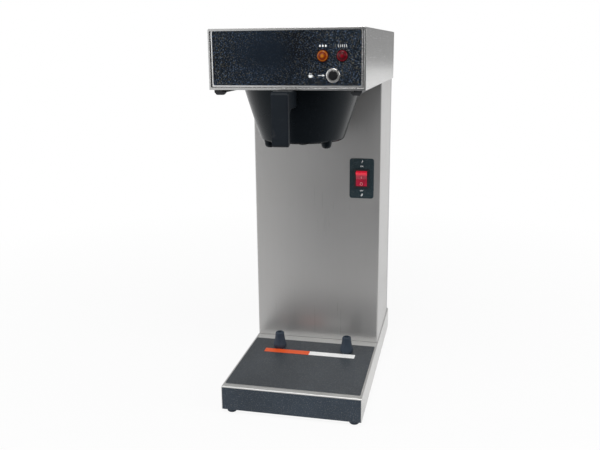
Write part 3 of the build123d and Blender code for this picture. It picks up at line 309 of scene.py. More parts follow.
@dataclass(frozen=True)
class TexturedPanel(Finish):
    """Dark panel with a fine pebbled surface and pale specks.

    The specks can fade towards one place on the panel, a painted shade that darkens the panel there.
    """

    speck: Colour = (0.15, 0.17, 0.20)
    other_speck: Colour = (0.15, 0.155, 0.14)
    roughness: float = 0.38
    specks: float = 0.5
    specular: float = 0.35
    mottle: float = 0.14
    # Painted shade: where the specks fade, how far it reaches and how faint the specks get there.
    painted_shade_centre: Triple = (0.0, 0.0, 0.0)
    painted_shade_reach: Pair = (1.0, 1.0)
    painted_shade_tone: float = 1.0
    pebble_scale: float = 1150.0
    pebble_depth: float = 0.06 * MM
    grit_scale: float = 620.0
    cloud_scale: float = 11.0
    hue_scale: float = 330.0
    worn_grey: float = 0.22
    edge_radius: float = 0.5 * MM

    def build(self) -> Material:
        """Makes the pebbled material.

        Returns:
            The material.
        """
        graph = self.graph()
        place = graph.place()
        pebble = graph.noise(place, self.pebble_scale, detail=2.0)
        grit = graph.noise(place, self.grit_scale, rough=0.7)
        cloud = graph.noise(place, self.cloud_scale)
        rounded, worn = graph.edge(self.edge_radius)
        dots = graph.maths("MULTIPLY", graph.span(grit, 0.54, 0.66), self.specks)
        darker, lighter = rgba(self.colour, 1 - self.mottle), rgba(self.colour, 1 + self.mottle)
        shade = graph.blend(graph.span(cloud, 0.35, 0.65), darker, lighter)
        hue = graph.span(graph.noise(place, self.hue_scale, detail=1.0), 0.44, 0.56)
        # Painted shade: the specks fade towards one place, so the panel looks darker about it.
        repeats = (1.0 / self.painted_shade_reach[0], 0.0, 1.0 / self.painted_shade_reach[1])
        reach = graph.length(graph.place(repeats, self.painted_shade_centre))
        dots = graph.maths("MULTIPLY", dots, graph.span(reach, 0.2, 1.0, self.painted_shade_tone, 1.0))
        dotted = graph.blend(dots, shade, graph.blend(hue, rgba(self.speck), rgba(self.other_speck)))
        return graph.finish({
            "Base Color": graph.rub(worn, 0.35, dotted, grey(self.worn_grey)),
            "Roughness": graph.span(grit, 0.3, 0.7, self.roughness + 0.06, self.roughness - 0.06),
            "Specular IOR Level": self.specular,
            "Normal": graph.bump(pebble, self.pebble_depth, 0.6, rounded),
        })


@dataclass(frozen=True)
class MouldedPlastic(Finish):
    """Injection-moulded plastic with a spark-eroded grain and slightly polished edges."""

    roughness: float = 0.42
    flow: float = 0.12
    specular: float = 0.5
    shine: Colour = (1.0, 1.0, 1.0)
    dust: float = 0.10
    dust_colour: Colour = (0.30, 0.29, 0.27)
    dust_scale: float = 85.0
    grain_depth: float = 0.04 * MM
    grain_scale: float = 1700.0
    flow_scale: Triple = (14.0, 14.0, 40.0)
    edge_radius: float = 0.5 * MM

    def build(self) -> Material:
        """Makes the moulded material.

        Returns:
            The material.
        """
        graph = self.graph()
        place = graph.place()
        grain = graph.noise(place, self.grain_scale, detail=2.0, rough=0.6)
        flow = graph.noise(graph.place(self.flow_scale))
        dust = graph.noise(place, self.dust_scale, detail=5.0, rough=0.7)
        dusted = graph.span(dust, 0.6, 0.85, to_high=self.dust)
        rounded, worn = graph.edge(self.edge_radius)
        darker, lighter = rgba(self.colour, 1.0 - self.flow), rgba(self.colour, 1.0 + self.flow)
        shade = graph.blend(graph.span(flow, 0.3, 0.7), darker, lighter)
        dusty = graph.blend(dusted, shade, rgba(self.dust_colour))
        return graph.finish({
            "Base Color": graph.rub(worn, 0.18, dusty, rgba(self.colour, 3.0)),
            "Roughness": graph.span(flow, 0.3, 0.7, self.roughness - 0.04, self.roughness + 0.05),
            "Specular IOR Level": self.specular,
            "Specular Tint": rgba(self.shine),
            "Normal": graph.bump(grain, self.grain_depth, 0.6, rounded),
        })


@dataclass(frozen=True)
class GlossPlastic(Finish):
    """Polished plastic with a clear top layer, fine swirl marks and perhaps a painted highlight
    on its upper end.

    The painted highlight, a lighter colour and a stronger glow, begins at a given
    height. By default that is far above the machine, so nothing gets it.
    """

    roughness: float = 0.16
    coat: float = 0.6
    coat_roughness: float = 0.08
    glow: float = 0.0
    # Painted highlight on the upper end: its colour, the height where it begins and how far it takes to
    # come in.
    painted_top_light: Colour = (1.0, 1.0, 1.0)
    painted_top_light_from: float = 9.0
    painted_top_light_over: float = 4.0 * MM
    swirl_scale: float = 420.0
    depth_scale: float = 95.0
    edge_radius: float = 0.6 * MM

    def build(self) -> Material:
        """Makes the polished material.

        Returns:
            The material.
        """
        graph = self.graph()
        place = graph.place()
        swirl = graph.noise(place, self.swirl_scale, detail=4.0, rough=0.7)
        depth = graph.noise(place, self.depth_scale, detail=2.0)
        rounded, worn = graph.edge(self.edge_radius)
        body = graph.blend(graph.span(depth, 0.3, 0.7), rgba(self.colour, 0.8), rgba(self.colour, 1.15))
        # Painted highlight: above a height the colour turns lighter and the glow stronger, standing in for
        # light falling on the upper end.
        height = graph.add("SeparateXYZ", {0: place}).outputs["Z"]
        painted_top_light_share = graph.span(height, self.painted_top_light_from, self.painted_top_light_from + self.painted_top_light_over)
        shade = graph.blend(painted_top_light_share, body, rgba(self.painted_top_light))
        return graph.finish({
            "Base Color": graph.rub(worn, 0.3, shade, rgba(self.colour, 1.8)),
            "Roughness": graph.span(swirl, 0.4, 0.7, self.roughness, self.roughness + 0.1),
            "Coat Weight": self.coat,
            "Coat Roughness": self.coat_roughness,
            "Emission Color": shade,
            "Emission Strength": graph.maths("MULTIPLY", graph.maths("ADD", painted_top_light_share, 0.5), self.glow),
            "Normal": rounded,
        })


@dataclass(frozen=True)
class LampLens(Finish):
    """Coloured lens with a bright bulb behind its middle and a moulded ring of prisms."""

    core: Colour = (1.0, 0.5, 0.1)
    rim: Colour = (0.6, 0.1, 0.02)
    centre: Triple = (0.0, 0.0, 0.0)
    radius: float = 8.0 * MM
    glow: float = 0.35
    prism_scale: float = 900.0
    prism_depth: float = 0.12 * MM

    def build(self) -> Material:
        """Makes the lens material.

        Returns:
            The material, shaded in rings about the lamp's axis.
        """
        graph = self.graph()
        scale = 1.0 / self.radius
        reach = graph.length(graph.place((scale, 0.0, scale), self.centre))
        rings = graph.add("ValToRGB", {"Fac": reach})
        stops = (
            (0.0, rgba(self.core)),
            (0.16, rgba(self.core, 0.9)),
            (0.34, rgba(self.colour, 0.85)),
            (0.54, rgba(self.rim)),
            (0.70, rgba(self.colour)),
            (0.80, rgba(self.core, 0.7)),
            (0.90, rgba(self.rim, 0.8)),
            (1.0, rgba(self.rim, 0.3)),
        )
        elements = rings.color_ramp.elements
        elements[0].position, elements[0].color = stops[0]
        elements[1].position, elements[1].color = stops[-1]
        for position, colour in stops[1:-1]:
            elements.new(position).color = colour
        cells = graph.add("TexVoronoi", {"Vector": graph.place(), "Scale": self.prism_scale})
        return graph.finish({
            "Base Color": rings.outputs[0],
            "Roughness": 0.2,
            "Specular IOR Level": 0.15,
            "Coat Weight": 0.06,
            "Coat Roughness": 0.05,
            "Emission Color": rings.outputs[0],
            "Emission Strength": self.glow,
            "Normal": graph.bump(cells.outputs["Distance"], self.prism_depth, 0.5),
        })


@dataclass(frozen=True)
class PlatedMetal(Finish):
    """Small metal part, turned, drawn or plated, with fine scratches and a little tarnish."""

    roughness: float = 0.25
    tarnish: Colour = (0.3, 0.27, 0.22)
    tarnish_share: float = 0.2
    scratch_depth: float = 0.02 * MM
    turning_scale: Triple = (700.0, 700.0, 2600.0)
    patch_scale: float = 130.0
    edge_radius: float = 0.3 * MM

    def build(self) -> Material:
        """Makes the plated material.

        Returns:
            The material.
        """
        graph = self.graph()
        place = graph.place()
        turning = graph.noise(graph.place(self.turning_scale), detail=2.0, rough=0.6)
        patch = graph.noise(place, self.patch_scale, detail=4.0, rough=0.65)
        rounded, worn = graph.edge(self.edge_radius)
        stain = graph.span(patch, 0.5, 0.8, to_high=self.tarnish_share)
        shade = graph.blend(stain, rgba(self.colour), rgba(self.tarnish))
        return graph.finish({
            "Base Color": graph.rub(worn, 0.5, shade, rgba(self.colour, 1.25)),
            "Metallic": 1.0,
            "Roughness": graph.span(patch, 0.35, 0.8, self.roughness, self.roughness + 0.18),
            "Normal": graph.bump(turning, self.scratch_depth, 0.5, rounded),
        })


@dataclass(frozen=True)
class Rubber(Finish):
    """Moulded rubber, dull, with a trace of dust."""

    roughness: float = 0.68
    dust: float = 0.16
    dust_colour: Colour = (0.35, 0.34, 0.32)
    sheen: float = 0.15
    skin_scale: float = 950.0
    skin_depth: float = 0.05 * MM
    film_scale: float = 60.0
    worn_grey: float = 0.2
    edge_radius: float = 0.5 * MM

    def build(self) -> Material:
        """Makes the rubber material.

        Returns:
            The material.
        """
        graph = self.graph()
        place = graph.place()
        skin = graph.noise(place, self.skin_scale, rough=0.6)
        film = graph.noise(place, self.film_scale, detail=5.0, rough=0.7)
        rounded, worn = graph.edge(self.edge_radius)
        dusted = graph.span(film, 0.45, 0.8, to_high=self.dust)
        dusty = graph.blend(dusted, rgba(self.colour), rgba(self.dust_colour))
        return graph.finish({
            "Base Color": graph.rub(worn, 0.15, dusty, grey(self.worn_grey)),
            "Roughness": graph.span(film, 0.3, 0.8, self.roughness - 0.06, self.roughness + 0.1),
            "Sheen Weight": self.sheen,
            "Normal": graph.bump(skin, self.skin_depth, 0.6, rounded),
        })


@dataclass(frozen=True)
class Vinyl(Finish):
    """Printed film or ink, satin, with light scuffs."""

    roughness: float = 0.38
    scuff: float = 0.10
    scuff_colour: Colour = (0.4, 0.39, 0.38)
    scuff_scale: Triple = (60.0, 400.0, 60.0)
    film_scale: float = 520.0
    film_depth: float = 0.02 * MM

    def build(self) -> Material:
        """Makes the film material.

        Returns:
            The material.
        """
        graph = self.graph()
        film = graph.noise(graph.place(), self.film_scale, detail=2.0)
        rubbed = graph.noise(graph.place(self.scuff_scale), detail=4.0, rough=0.7)
        scuffed = graph.span(rubbed, 0.55, 0.8, to_high=self.scuff)
        shade = graph.blend(scuffed, rgba(self.colour), rgba(self.scuff_colour))
        tinted = graph.blend(graph.span(film, 0.3, 0.7, to_high=0.12), shade, rgba(self.colour, 0.85))
        return graph.finish({
            "Base Color": tinted,
            "Roughness": graph.span(rubbed, 0.4, 0.8, self.roughness, self.roughness + 0.2),
            "Normal": graph.bump(film, self.film_depth, 0.4),
        })


@dataclass(frozen=True)
class CircuitBoard(Finish):
    """Solder mask over copper tracks, with tinned pads."""

    track: Colour = (0.10, 0.36, 0.18)
    tin: Colour = (0.62, 0.62, 0.6)
    track_scale: float = 110.0
    track_depth: float = 0.04 * MM
    pad_scale: float = 190.0

    def build(self) -> Material:
        """Makes the board material.

        Returns:
            The material.
        """
        graph = self.graph()
        place = graph.place()
        inputs = {"Vector": place, "Scale": self.track_scale, "Randomness": 0.85}
        border = graph.add("TexVoronoi", inputs, feature="DISTANCE_TO_EDGE").outputs["Distance"]
        tracks = graph.span(border, 0.07, 0.05)
        pads = graph.add("TexVoronoi", {"Vector": place, "Scale": self.pad_scale}).outputs["Distance"]
        base = graph.blend(tracks, rgba(self.colour), rgba(self.track))
        return graph.finish({
            "Base Color": graph.blend(graph.span(pads, 0.14, 0.10), base, rgba(self.tin)),
            "Roughness": 0.3,
            "Coat Weight": 0.3,
            "Normal": graph.bump(tracks, self.track_depth, 0.5),
        })


ZINC = PlatedMetal("zinc_plate", (0.62, 0.63, 0.64), roughness=0.24)
BRASS = PlatedMetal("turned_brass", (0.72, 0.53, 0.27), roughness=0.22, tarnish=(0.34, 0.24, 0.12))
INNER_STEEL = BrushedSteel("mill_steel", (0.54, 0.54, 0.54), grain=Grain.DEEP, roughness=0.34)
BLACK_MOULDED = MouldedPlastic("black_moulded", (0.016, 0.017, 0.020), roughness=0.40, specular=0.35)
BLACK_RUBBER = Rubber("black_rubber", (0.008, 0.020, 0.038), dust=0.05, sheen=0.05)
SILICONE = Rubber("milky_silicone", (0.62, 0.60, 0.56), roughness=0.5, dust=0.05)
CREAM = MouldedPlastic("cream_moulded", (0.70, 0.66, 0.56), roughness=0.45)
WHITE_INK = Vinyl("white_ink", (0.86, 0.87, 0.88), roughness=0.5, scuff=0.06)
PINK_INK = Vinyl("lit_ink", (0.85, 0.36, 0.38), roughness=0.5, scuff=0.06)


def deselect() -> None:
    """Goes to object mode with nothing selected."""
    if bpy.context.object is not None and bpy.context.object.mode != "OBJECT":
        bpy.ops.object.mode_set(mode="OBJECT")
    bpy.ops.object.select_all(action="DESELECT")


def pick(*pieces: Piece) -> None:
    """Selects pieces alone, with the first of them active.

    Args:
        *pieces: The pieces.
    """
    deselect()
    for piece in pieces:
        piece.select_set(True)
    bpy.context.view_layer.objects.active = pieces[0]


def started(name: str) -> Piece:
    """Names the object that an add operator has just made.

    Args:
        name: The name for the object and its data.

    Returns:
        The object.
    """
    piece = bpy.context.object
    piece.name = name
    piece.data.name = name
    return piece


def everywhere(place: Vector) -> bool:
    """Passes every place."""
    return True


def grasp(piece: Piece, test: Callable[[Vector], bool] = everywhere) -> None:
    """Opens a piece in edit mode with the vertices selected whose place passes a test.

    Args:
        piece: The object.
        test: Takes a vertex's place and says whether to select it.
    """
    pick(piece)
    bpy.ops.object.mode_set(mode="EDIT")
    bpy.ops.mesh.select_mode(type="VERT")
    bpy.ops.mesh.select_all(action="DESELECT")
    bpy.ops.object.mode_set(mode="OBJECT")
    for vertex in piece.data.vertices:
        vertex.select = test(vertex.co)
    bpy.ops.object.mode_set(mode="EDIT")


def raise_flat(piece: Piece, thickness: float) -> None:
    """Gives a flat face a thickness along +Z.

    Args:
        piece: The flat piece.
        thickness: How far its face is raised.
    """
    grasp(piece)
    bpy.ops.mesh.extrude_region_move(TRANSFORM_OT_translate={"value": (0, 0, thickness)})
    bpy.ops.mesh.select_all(action="SELECT")
    bpy.ops.mesh.normals_make_consistent(inside=False)
    bpy.ops.object.mode_set(mode="OBJECT")


def rectangle(name: str, width: float, height: float) -> Piece:
    """Lays a flat rectangle about the origin and leaves it open in edit mode.

    Args:
        name: The piece's name.
        width: Its size along X.
        height: Its size along Y.

    Returns:
        The rectangle, on the XY plane.
    """
    deselect()
    bpy.ops.mesh.primitive_plane_add(size=1.0)
    piece = started(name)
    grasp(piece)
    bpy.ops.transform.resize(value=(width, height, 1.0))
    return piece


def join(name: str, parts: Sequence[Piece]) -> Piece:
    """Joins several meshes into the first, under one name.

    Args:
        name: The name of the whole.
        parts: The meshes.

    Returns:
        The joined piece.
    """
    pick(*parts)
    bpy.ops.object.join()
    return started(name)


def spread(piece: Piece, places: Sequence[Triple]) -> list[Piece]:
    """Puts a piece at the first of some places and a copy of it at each of the others.

    Args:
        piece: The piece, modelled about the origin.
        places: Where the pieces go.

    Returns:
        The piece and its copies, each with its own mesh.
    """
    pieces = [piece]
    for _ in places[1:]:
        pick(piece)
        bpy.ops.object.duplicate()
        pieces.append(bpy.context.object)
    for one, place in zip(pieces, places):
        one.data.transform(Matrix.Translation(place))
    return pieces


def line_up(name: str, mark: Piece, count: int, pitch: float) -> Piece:
    """Makes one piece of a mark repeated along X about the middle, a pitch apart."""
    places = [((index - (count - 1) / 2) * pitch, 0, 0) for index in range(count)]
    return join(name, spread(mark, places))


def as_mesh(piece: Piece) -> Piece:
    """Turns a curve or text into a mesh.

    Args:
        piece: The curve or text.

    Returns:
        The mesh that takes its place.
    """
    pick(piece)
    bpy.ops.object.convert(target="MESH")
    return bpy.context.object


def lay_on(piece: Piece, point: Vector, normal: Vector) -> None:
    """Moves a flat piece from the XY plane onto a surface and settles it in its mesh.

    Args:
        piece: The piece, with +Y up and +Z towards the viewer.
        point: Where its origin goes.
        normal: The surface's outward direction.
    """
    out = normal.normalized()
    across = UP.cross(out).normalized()
    turn = Matrix((across, out.cross(across), out)).transposed().to_4x4()
    piece.data.transform(Matrix.Translation(point) @ turn @ piece.matrix_world)
    piece.matrix_world = Matrix.Identity(4)


@dataclass
class SubAssembly:
    """Nodes of the machine that are dressed together, and the pieces added to them."""

    finishes: dict[str, Finish] = field(default_factory=dict)
    body: str = "housing"

    def dress(self) -> None:
        """Gives each node its finish."""
        for name, finish in self.finishes.items():
            node = frame["nodes"][name]
            node.data.materials.clear()
            node.data.materials.append(material_of(finish))
            log.info("%s has %s", name, finish.name)

    def model(self) -> None:
        """Builds the pieces that are only here. Most sub-assemblies have none."""

    def keep(self, piece: Piece, finish: Finish, slot: str, body: str | None = None) -> None:
        """Finishes a new piece, joins it to its body and reports it.

        Args:
            piece: The piece, settled in its mesh.
            finish: Its finish.
            slot: The record's material slot. Not used.
            body: The body it rides on, or None for the sub-assembly's own.
        """
        piece.data.materials.clear()
        piece.data.materials.append(material_of(finish))
        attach(piece, body or self.body)
        log.info("%s: %d faces", piece.name, len(piece.data.polygons))


@dataclass
class Base(SubAssembly):
    """The base box with its pebbled panels, two-colour strip, posts and feet."""

    def __post_init__(self) -> None:
        """Sets the finish of each node of the base."""
        self.finishes = {
            "base_tray": BrushedSteel(
                "base_steel", (0.66, 0.66, 0.65), grain=Grain.DEEP, roughness=0.38, streak=0.04,
                relief=0.15, metallic=0.75,
            ),
            "base_bottom_plate": INNER_STEEL,
            "base_front_panel": TexturedPanel("front_panel_paint", (0.023, 0.034, 0.049)),
            "deck_panel": TexturedPanel("deck_panel_paint", (0.043, 0.050, 0.058)),
            "strip_orange": Vinyl("orange_film", (0.80, 0.10, 0.018)),
            "strip_white": Vinyl("white_film", (0.96, 0.96, 0.95), scuff=0.04),
            "left_airpot_post": BLACK_RUBBER,
            "right_airpot_post": BLACK_RUBBER,
            "post_screws": ZINC,
            "rubber_feet": BLACK_RUBBER,
            "foot_screws": ZINC,
            "hex_nuts": ZINC,
        }


@dataclass
class Tower(SubAssembly):
    """The upright sheet-metal tower and its vented rear cover."""

    def __post_init__(self) -> None:
        """Sets the finish of each node of the tower."""
        self.finishes = {
            "tower_shell": BrushedSteel(
                "tower_steel", (0.44, 0.435, 0.43), roughness=0.30, streak=0.015, smudge=0.04,
                relief=0.05, metallic=0.66, line_length=180.0 * MM, gloss_swing=0.6,
            ),
            "rear_cover": BrushedSteel(
                "cover_steel", (0.40, 0.41, 0.42), roughness=0.34, smudge=0.05, relief=0.15,
                line_length=180.0 * MM,
            ),
            "case_screws": ZINC,
            "inner_screws": ZINC,
            "inlet_fitting": BRASS,
            "cord_gland": BLACK_MOULDED,
        }


@dataclass
class Legend:
    """A word or figure printed beside the switch."""

    name: str
    text: str
    size: float
    rise: float
    slant: float = 0.0


@dataclass
class PowerSwitch(SubAssembly):
    """The illuminated rocker, its plate, and the wording and marks round it.

    The ridge between the rocker's two halves lies face_reach in front of the
    pivot and face_drop below it. The leans of the halves are in degrees, and
    letter_weight is a share of a letter's size.
    """

    print_depth: float = 0.12 * MM
    legends: tuple[Legend, ...] = (
        Legend("switch_on_word", "ON", 3.0 * MM, 20.3 * MM),
        Legend("switch_off_word", "OFF", 3.0 * MM, -20.6 * MM),
        Legend("switch_line_mark", "I", 6.0 * MM, 27.6 * MM, slant=0.35),
        Legend("switch_ring_mark", "0", 6.0 * MM, -27.8 * MM, slant=0.35),
    )
    letter_weight: float = 0.012
    ring_drop: float = 8.0 * MM
    ring_radius: float = 2.3 * MM
    ring_thickness: float = 0.27 * MM
    ring_squeeze: Triple = (0.92, 1.0, 0.35)
    line_rise: float = 2.9 * MM
    line_length: float = 2.8 * MM
    line_width: float = 0.65 * MM
    line_corner: float = 0.2 * MM
    face_drop: float = 0.594 * MM
    face_reach: float = 3.753 * MM
    upper_lean: float = 17.8
    lower_lean: float = 0.2
    # Height where the painted highlight on the rocker's upper end begins.
    painted_top_light_from: float = 340.0 * MM

    def __post_init__(self) -> None:
        """Sets the finish of each node of the switch."""
        self.finishes = {
            "switch_plate": TexturedPanel(
                "switch_plate_paint", (0.012, 0.027, 0.034), specks=0.3, specular=0.3
            ),
            "switch_housing": BLACK_MOULDED,
            # The rocker's lighter red and stronger glow at its upper end are a painted highlight.
            "switch_rocker": GlossPlastic(
                "rocker_red", (0.36, 0.008, 0.032), coat=0.4, glow=0.24, painted_top_light=(0.68, 0.012, 0.036),
                painted_top_light_from=self.painted_top_light_from,
            ),
            "switch_terminals": BRASS,
        }

    def model(self) -> None:
        """Builds the legends on the plate and the two marks on the rocker."""
        low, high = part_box("switch_plate")
        middle = Vector(((low.x + high.x) / 2, low.y, (low.z + high.z) / 2))
        for legend in self.legends:
            self.print_legend(legend, middle)
        pivot = Vector(next(joint for joint in frame["joints"] if joint["child"] == "rocker")["pos_m"])
        ridge = pivot + Vector((0, -self.face_reach, -self.face_drop))
        self.ring_mark(ridge)
        self.line_mark(ridge)

    def print_legend(self, legend: Legend, middle: Vector) -> None:
        """Prints one word or figure on the plate.

        Args:
            legend: The word, its height and place.
            middle: The middle of the plate's face.
        """
        deselect()
        bpy.ops.object.text_add()
        piece = started(legend.name)
        piece.data.body = legend.text
        piece.data.size = legend.size
        piece.data.shear = legend.slant
        piece.data.align_x = "CENTER"
        piece.data.align_y = "CENTER"
        piece.data.offset = legend.size * self.letter_weight
        piece.data.extrude = self.print_depth / 2
        piece = as_mesh(piece)
        lay_on(piece, middle + UP * legend.rise, FRONT)
        self.keep(piece, WHITE_INK, "white_vinyl")

    def ring_mark(self, ridge: Vector) -> None:
        """Models the ring on the rocker's lower half.

        Args:
            ridge: The rocker's middle line, on its face.
        """
        deselect()
        bpy.ops.mesh.primitive_torus_add(
            major_radius=self.ring_radius,
            minor_radius=self.ring_thickness,
            major_segments=40,
            minor_segments=8,
        )
        piece = started("rocker_ring_mark")
        grasp(piece)
        bpy.ops.transform.resize(value=self.ring_squeeze)
        deselect()
        self.set_on_rocker(piece, ridge, -self.ring_drop, self.lower_lean)

    def line_mark(self, ridge: Vector) -> None:
        """Models the upright line on the rocker's upper half.

        Args:
            ridge: The rocker's middle line, on its face.
        """
        piece = rectangle("rocker_line_mark", self.line_width, self.line_length)
        bpy.ops.mesh.bevel(offset=self.line_corner, segments=3, affect="VERTICES")
        raise_flat(piece, self.print_depth)
        self.set_on_rocker(piece, ridge, self.line_rise, self.upper_lean)

    def set_on_rocker(self, piece: Piece, ridge: Vector, rise: float, degrees: float) -> None:
        """Lays a mark on one half of the rocker and keeps it.

        Args:
            piece: The mark.
            ridge: The rocker's middle line, on its face.
            rise: How far above that line the mark stands, or below it if negative.
            degrees: How far that half of the face leans from upright.
        """
        lean = math.radians(degrees)
        normal = Vector((0, -math.cos(lean), -math.sin(lean)))
        point = ridge + Vector((0, -rise * math.tan(lean), rise))
        lay_on(piece, point, normal)
        self.keep(piece, PINK_INK, "white_vinyl", "rocker")


@dataclass
class Head(SubAssembly):
    """The box head, its floor, rails and spray head."""

    def __post_init__(self) -> None:
        """Sets the finish of each node of the head."""
        self.finishes = {
            "head_hood": BrushedSteel(
                "hood_steel", (0.54, 0.54, 0.535), grain=Grain.DEEP, roughness=0.22, streak=0.035,
                smudge=0.03, relief=0.12, polish=0.15,
            ),
            "head_floor": INNER_STEEL,
            "hood_bracket": INNER_STEEL,
            "left_rail": BLACK_MOULDED,
            "right_rail": BLACK_MOULDED,
            "spray_head": BrushedSteel("spray_steel", (0.6, 0.6, 0.6), grain=Grain.ACROSS, roughness=0.22),
            "spray_gasket": SILICONE,
            "spray_fitting": BRASS,
            "spray_hose": SILICONE,
        }


# A droplet is drawn up in steps: above what share of its height, how far, and how narrow.
DROPLET_STEPS = (
    (0.30, 0.10, 0.97),
    (0.60, 0.18, 0.86),
    (0.80, 0.30, 0.72),
    (0.93, 0.45, 0.55),
    (0.99, 0.55, 0.20),
)

# To which side each control point of a wave line lies, from its foot to its top.
WAVE_SIDES = (0, 1, 0, -1, 0)


@dataclass
class ControlPanel(SubAssembly):
    """The pebbled front panel with two lamps, the brew button and their symbols.

    Values without MM are shares of a symbol's own size: the droplet's radius,
    the wave's height, the cup's width or height, the arrow's length, or the
    width of a line.
    """

    print_depth: float = 0.12 * MM
    symbol_above_lamp: float = 12.6 * MM
    droplet_count: int = 3
    droplet_radius: float = 1.15 * MM
    droplet_pitch: float = 3.9 * MM
    droplet_lift: float = 0.6
    wave_count: int = 5
    wave_height: float = 3.3 * MM
    wave_pitch: float = 2.7 * MM
    wave_width: float = 0.30 * MM
    wave_swing: float = 0.16
    wave_pull: float = 1.6
    cup_from_button: float = 31.0 * MM
    cup_width: float = 5.2 * MM
    cup_height: float = 3.4 * MM
    cup_drop: float = 0.35
    cup_foot: float = 0.72
    cup_corner: float = 0.25
    ear_radius: float = 0.30
    ear_drop: float = 0.28
    steam_side: float = 0.18
    steam_height: float = 0.62
    arrow_from_button: float = 13.5 * MM
    arrow_length: float = 10.0 * MM
    arrow_corner: float = 0.2 * MM
    shaft_share: float = 0.7
    shaft_thickness: float = 2.4
    head_share: float = 0.2
    # Where the painted shade on the overlay lies and how wide it is.
    painted_shade_place: Triple = (-22.0 * MM, 0.0, 540.0 * MM)
    painted_shade_size: Pair = (90.0 * MM, 55.0 * MM)

    def __post_init__(self) -> None:
        """Sets the finish of each node of the panel."""
        self.finishes = {
            "control_plate": BrushedSteel(
                "panel_steel", (0.80, 0.80, 0.80), grain=Grain.ACROSS, smudge=0.03, relief=0.10,
                polish=0.1,
            ),
            # The overlay's specks fade almost away about one place, a painted shade.
            "control_overlay": TexturedPanel(
                "overlay_film", (0.0034, 0.0064, 0.0112), speck=(0.125, 0.18, 0.28),
                other_speck=(0.18, 0.17, 0.13), roughness=0.34, specks=0.95, specular=0.09,
                mottle=0.6, grit_scale=860.0, painted_shade_centre=self.painted_shade_place,
                painted_shade_reach=self.painted_shade_size, painted_shade_tone=0.08,
            ),
            "amber_lens": LampLens(
                "amber_lens", (0.20, 0.034, 0.001), core=(0.33, 0.110, 0.006),
                rim=(0.09, 0.008, 0.0004), centre=tuple(self.lamp_centre("amber_lens")), glow=0.22,
            ),
            "red_lens": LampLens(
                "red_lens", (0.082, 0.0006, 0.004), core=(0.155, 0.0006, 0.008),
                rim=(0.036, 0.0004, 0.002), centre=tuple(self.lamp_centre("red_lens")), glow=0.14,
            ),
            "lamp_bodies": BLACK_MOULDED,
            "panel_nuts": ZINC,
            "button_bezel": PlatedMetal(
                "bezel_chrome", (0.64, 0.63, 0.61), roughness=0.17, tarnish_share=0.05,
                scratch_depth=0.006 * MM,
            ),
            "button_plunger": GlossPlastic("button_black", (0.004, 0.004, 0.005), roughness=0.12, coat=0.3),
            "button_spring": ZINC,
            "button_contact_block": BLACK_MOULDED,
        }

    @staticmethod
    def lamp_centre(name: str) -> Vector:
        """The middle of a lens, taken from its box."""
        low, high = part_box(name)
        return (low + high) / 2

    def model(self) -> None:
        """Builds the droplets, the heat waves, the cup and the arrow."""
        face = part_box("control_overlay")[0].y
        amber = self.lamp_centre("amber_lens")
        red = self.lamp_centre("red_lens")
        low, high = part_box("button_bezel")
        button = (low + high) / 2
        above = self.symbol_above_lamp
        drops = line_up("filling_symbol", self.droplet(), self.droplet_count, self.droplet_pitch)
        self.set_on_panel(drops, Vector((amber.x, face, amber.z + above)))
        wave = self.wave(self.wave_height)
        waves = line_up("heating_symbol", wave, self.wave_count, self.wave_pitch)
        self.set_on_panel(waves, Vector((red.x, face, red.z + above)))
        self.set_on_panel(self.cup(), Vector((button.x - self.cup_from_button, face, button.z)))
        self.set_on_panel(self.arrow(), Vector((button.x - self.arrow_from_button, face, button.z)))

    def set_on_panel(self, piece: Piece, point: Vector) -> None:
        """Lays a printed symbol on the panel and keeps it."""
        lay_on(piece, point, FRONT)
        self.keep(piece, WHITE_INK, "white_vinyl")

    def droplet(self) -> Piece:
        """Models a water drop with its point up.

        Returns:
            The drop, flat on the XY plane.
        """
        radius = self.droplet_radius
        deselect()
        bpy.ops.mesh.primitive_circle_add(vertices=32, radius=radius, fill_type="NGON")
        piece = started("drop")
        for share, lift, squeeze in DROPLET_STEPS:
            top = max(vertex.co.y for vertex in piece.data.vertices)
            grasp(piece, lambda place, floor=share * top: place.y > floor)
            bpy.ops.transform.translate(value=(0, lift * radius * self.droplet_lift, 0))
            bpy.ops.transform.resize(value=(squeeze, 1.0, 1.0))
            bpy.ops.object.mode_set(mode="OBJECT")
        raise_flat(piece, self.print_depth)
        return piece

    def flatten(self, piece: Piece) -> None:
        """Presses a round line down to the depth of the print.

        Args:
            piece: The line, lying on the XY plane.
        """
        grasp(piece)
        bpy.ops.transform.resize(value=(1.0, 1.0, self.print_depth / self.wave_width))
        deselect()

    def wave(self, height: float) -> Piece:
        """Models one rising wave line.

        Args:
            height: How tall it is.

        Returns:
            The line as a mesh, flattened onto the XY plane.
        """
        deselect()
        bpy.ops.curve.primitive_nurbs_path_add(radius=1.0)
        piece = bpy.context.object
        swing = height * self.wave_swing
        last = len(WAVE_SIDES) - 1
        for index, point in enumerate(piece.data.splines[0].points):
            shift = WAVE_SIDES[index] * swing * self.wave_pull
            point.co = (shift, (index / last - 0.5) * height, 0, 1)
        piece.data.bevel_depth = self.wave_width
        piece.data.bevel_resolution = 2
        piece.data.use_fill_caps = True
        piece = as_mesh(piece)
        self.flatten(piece)
        return piece

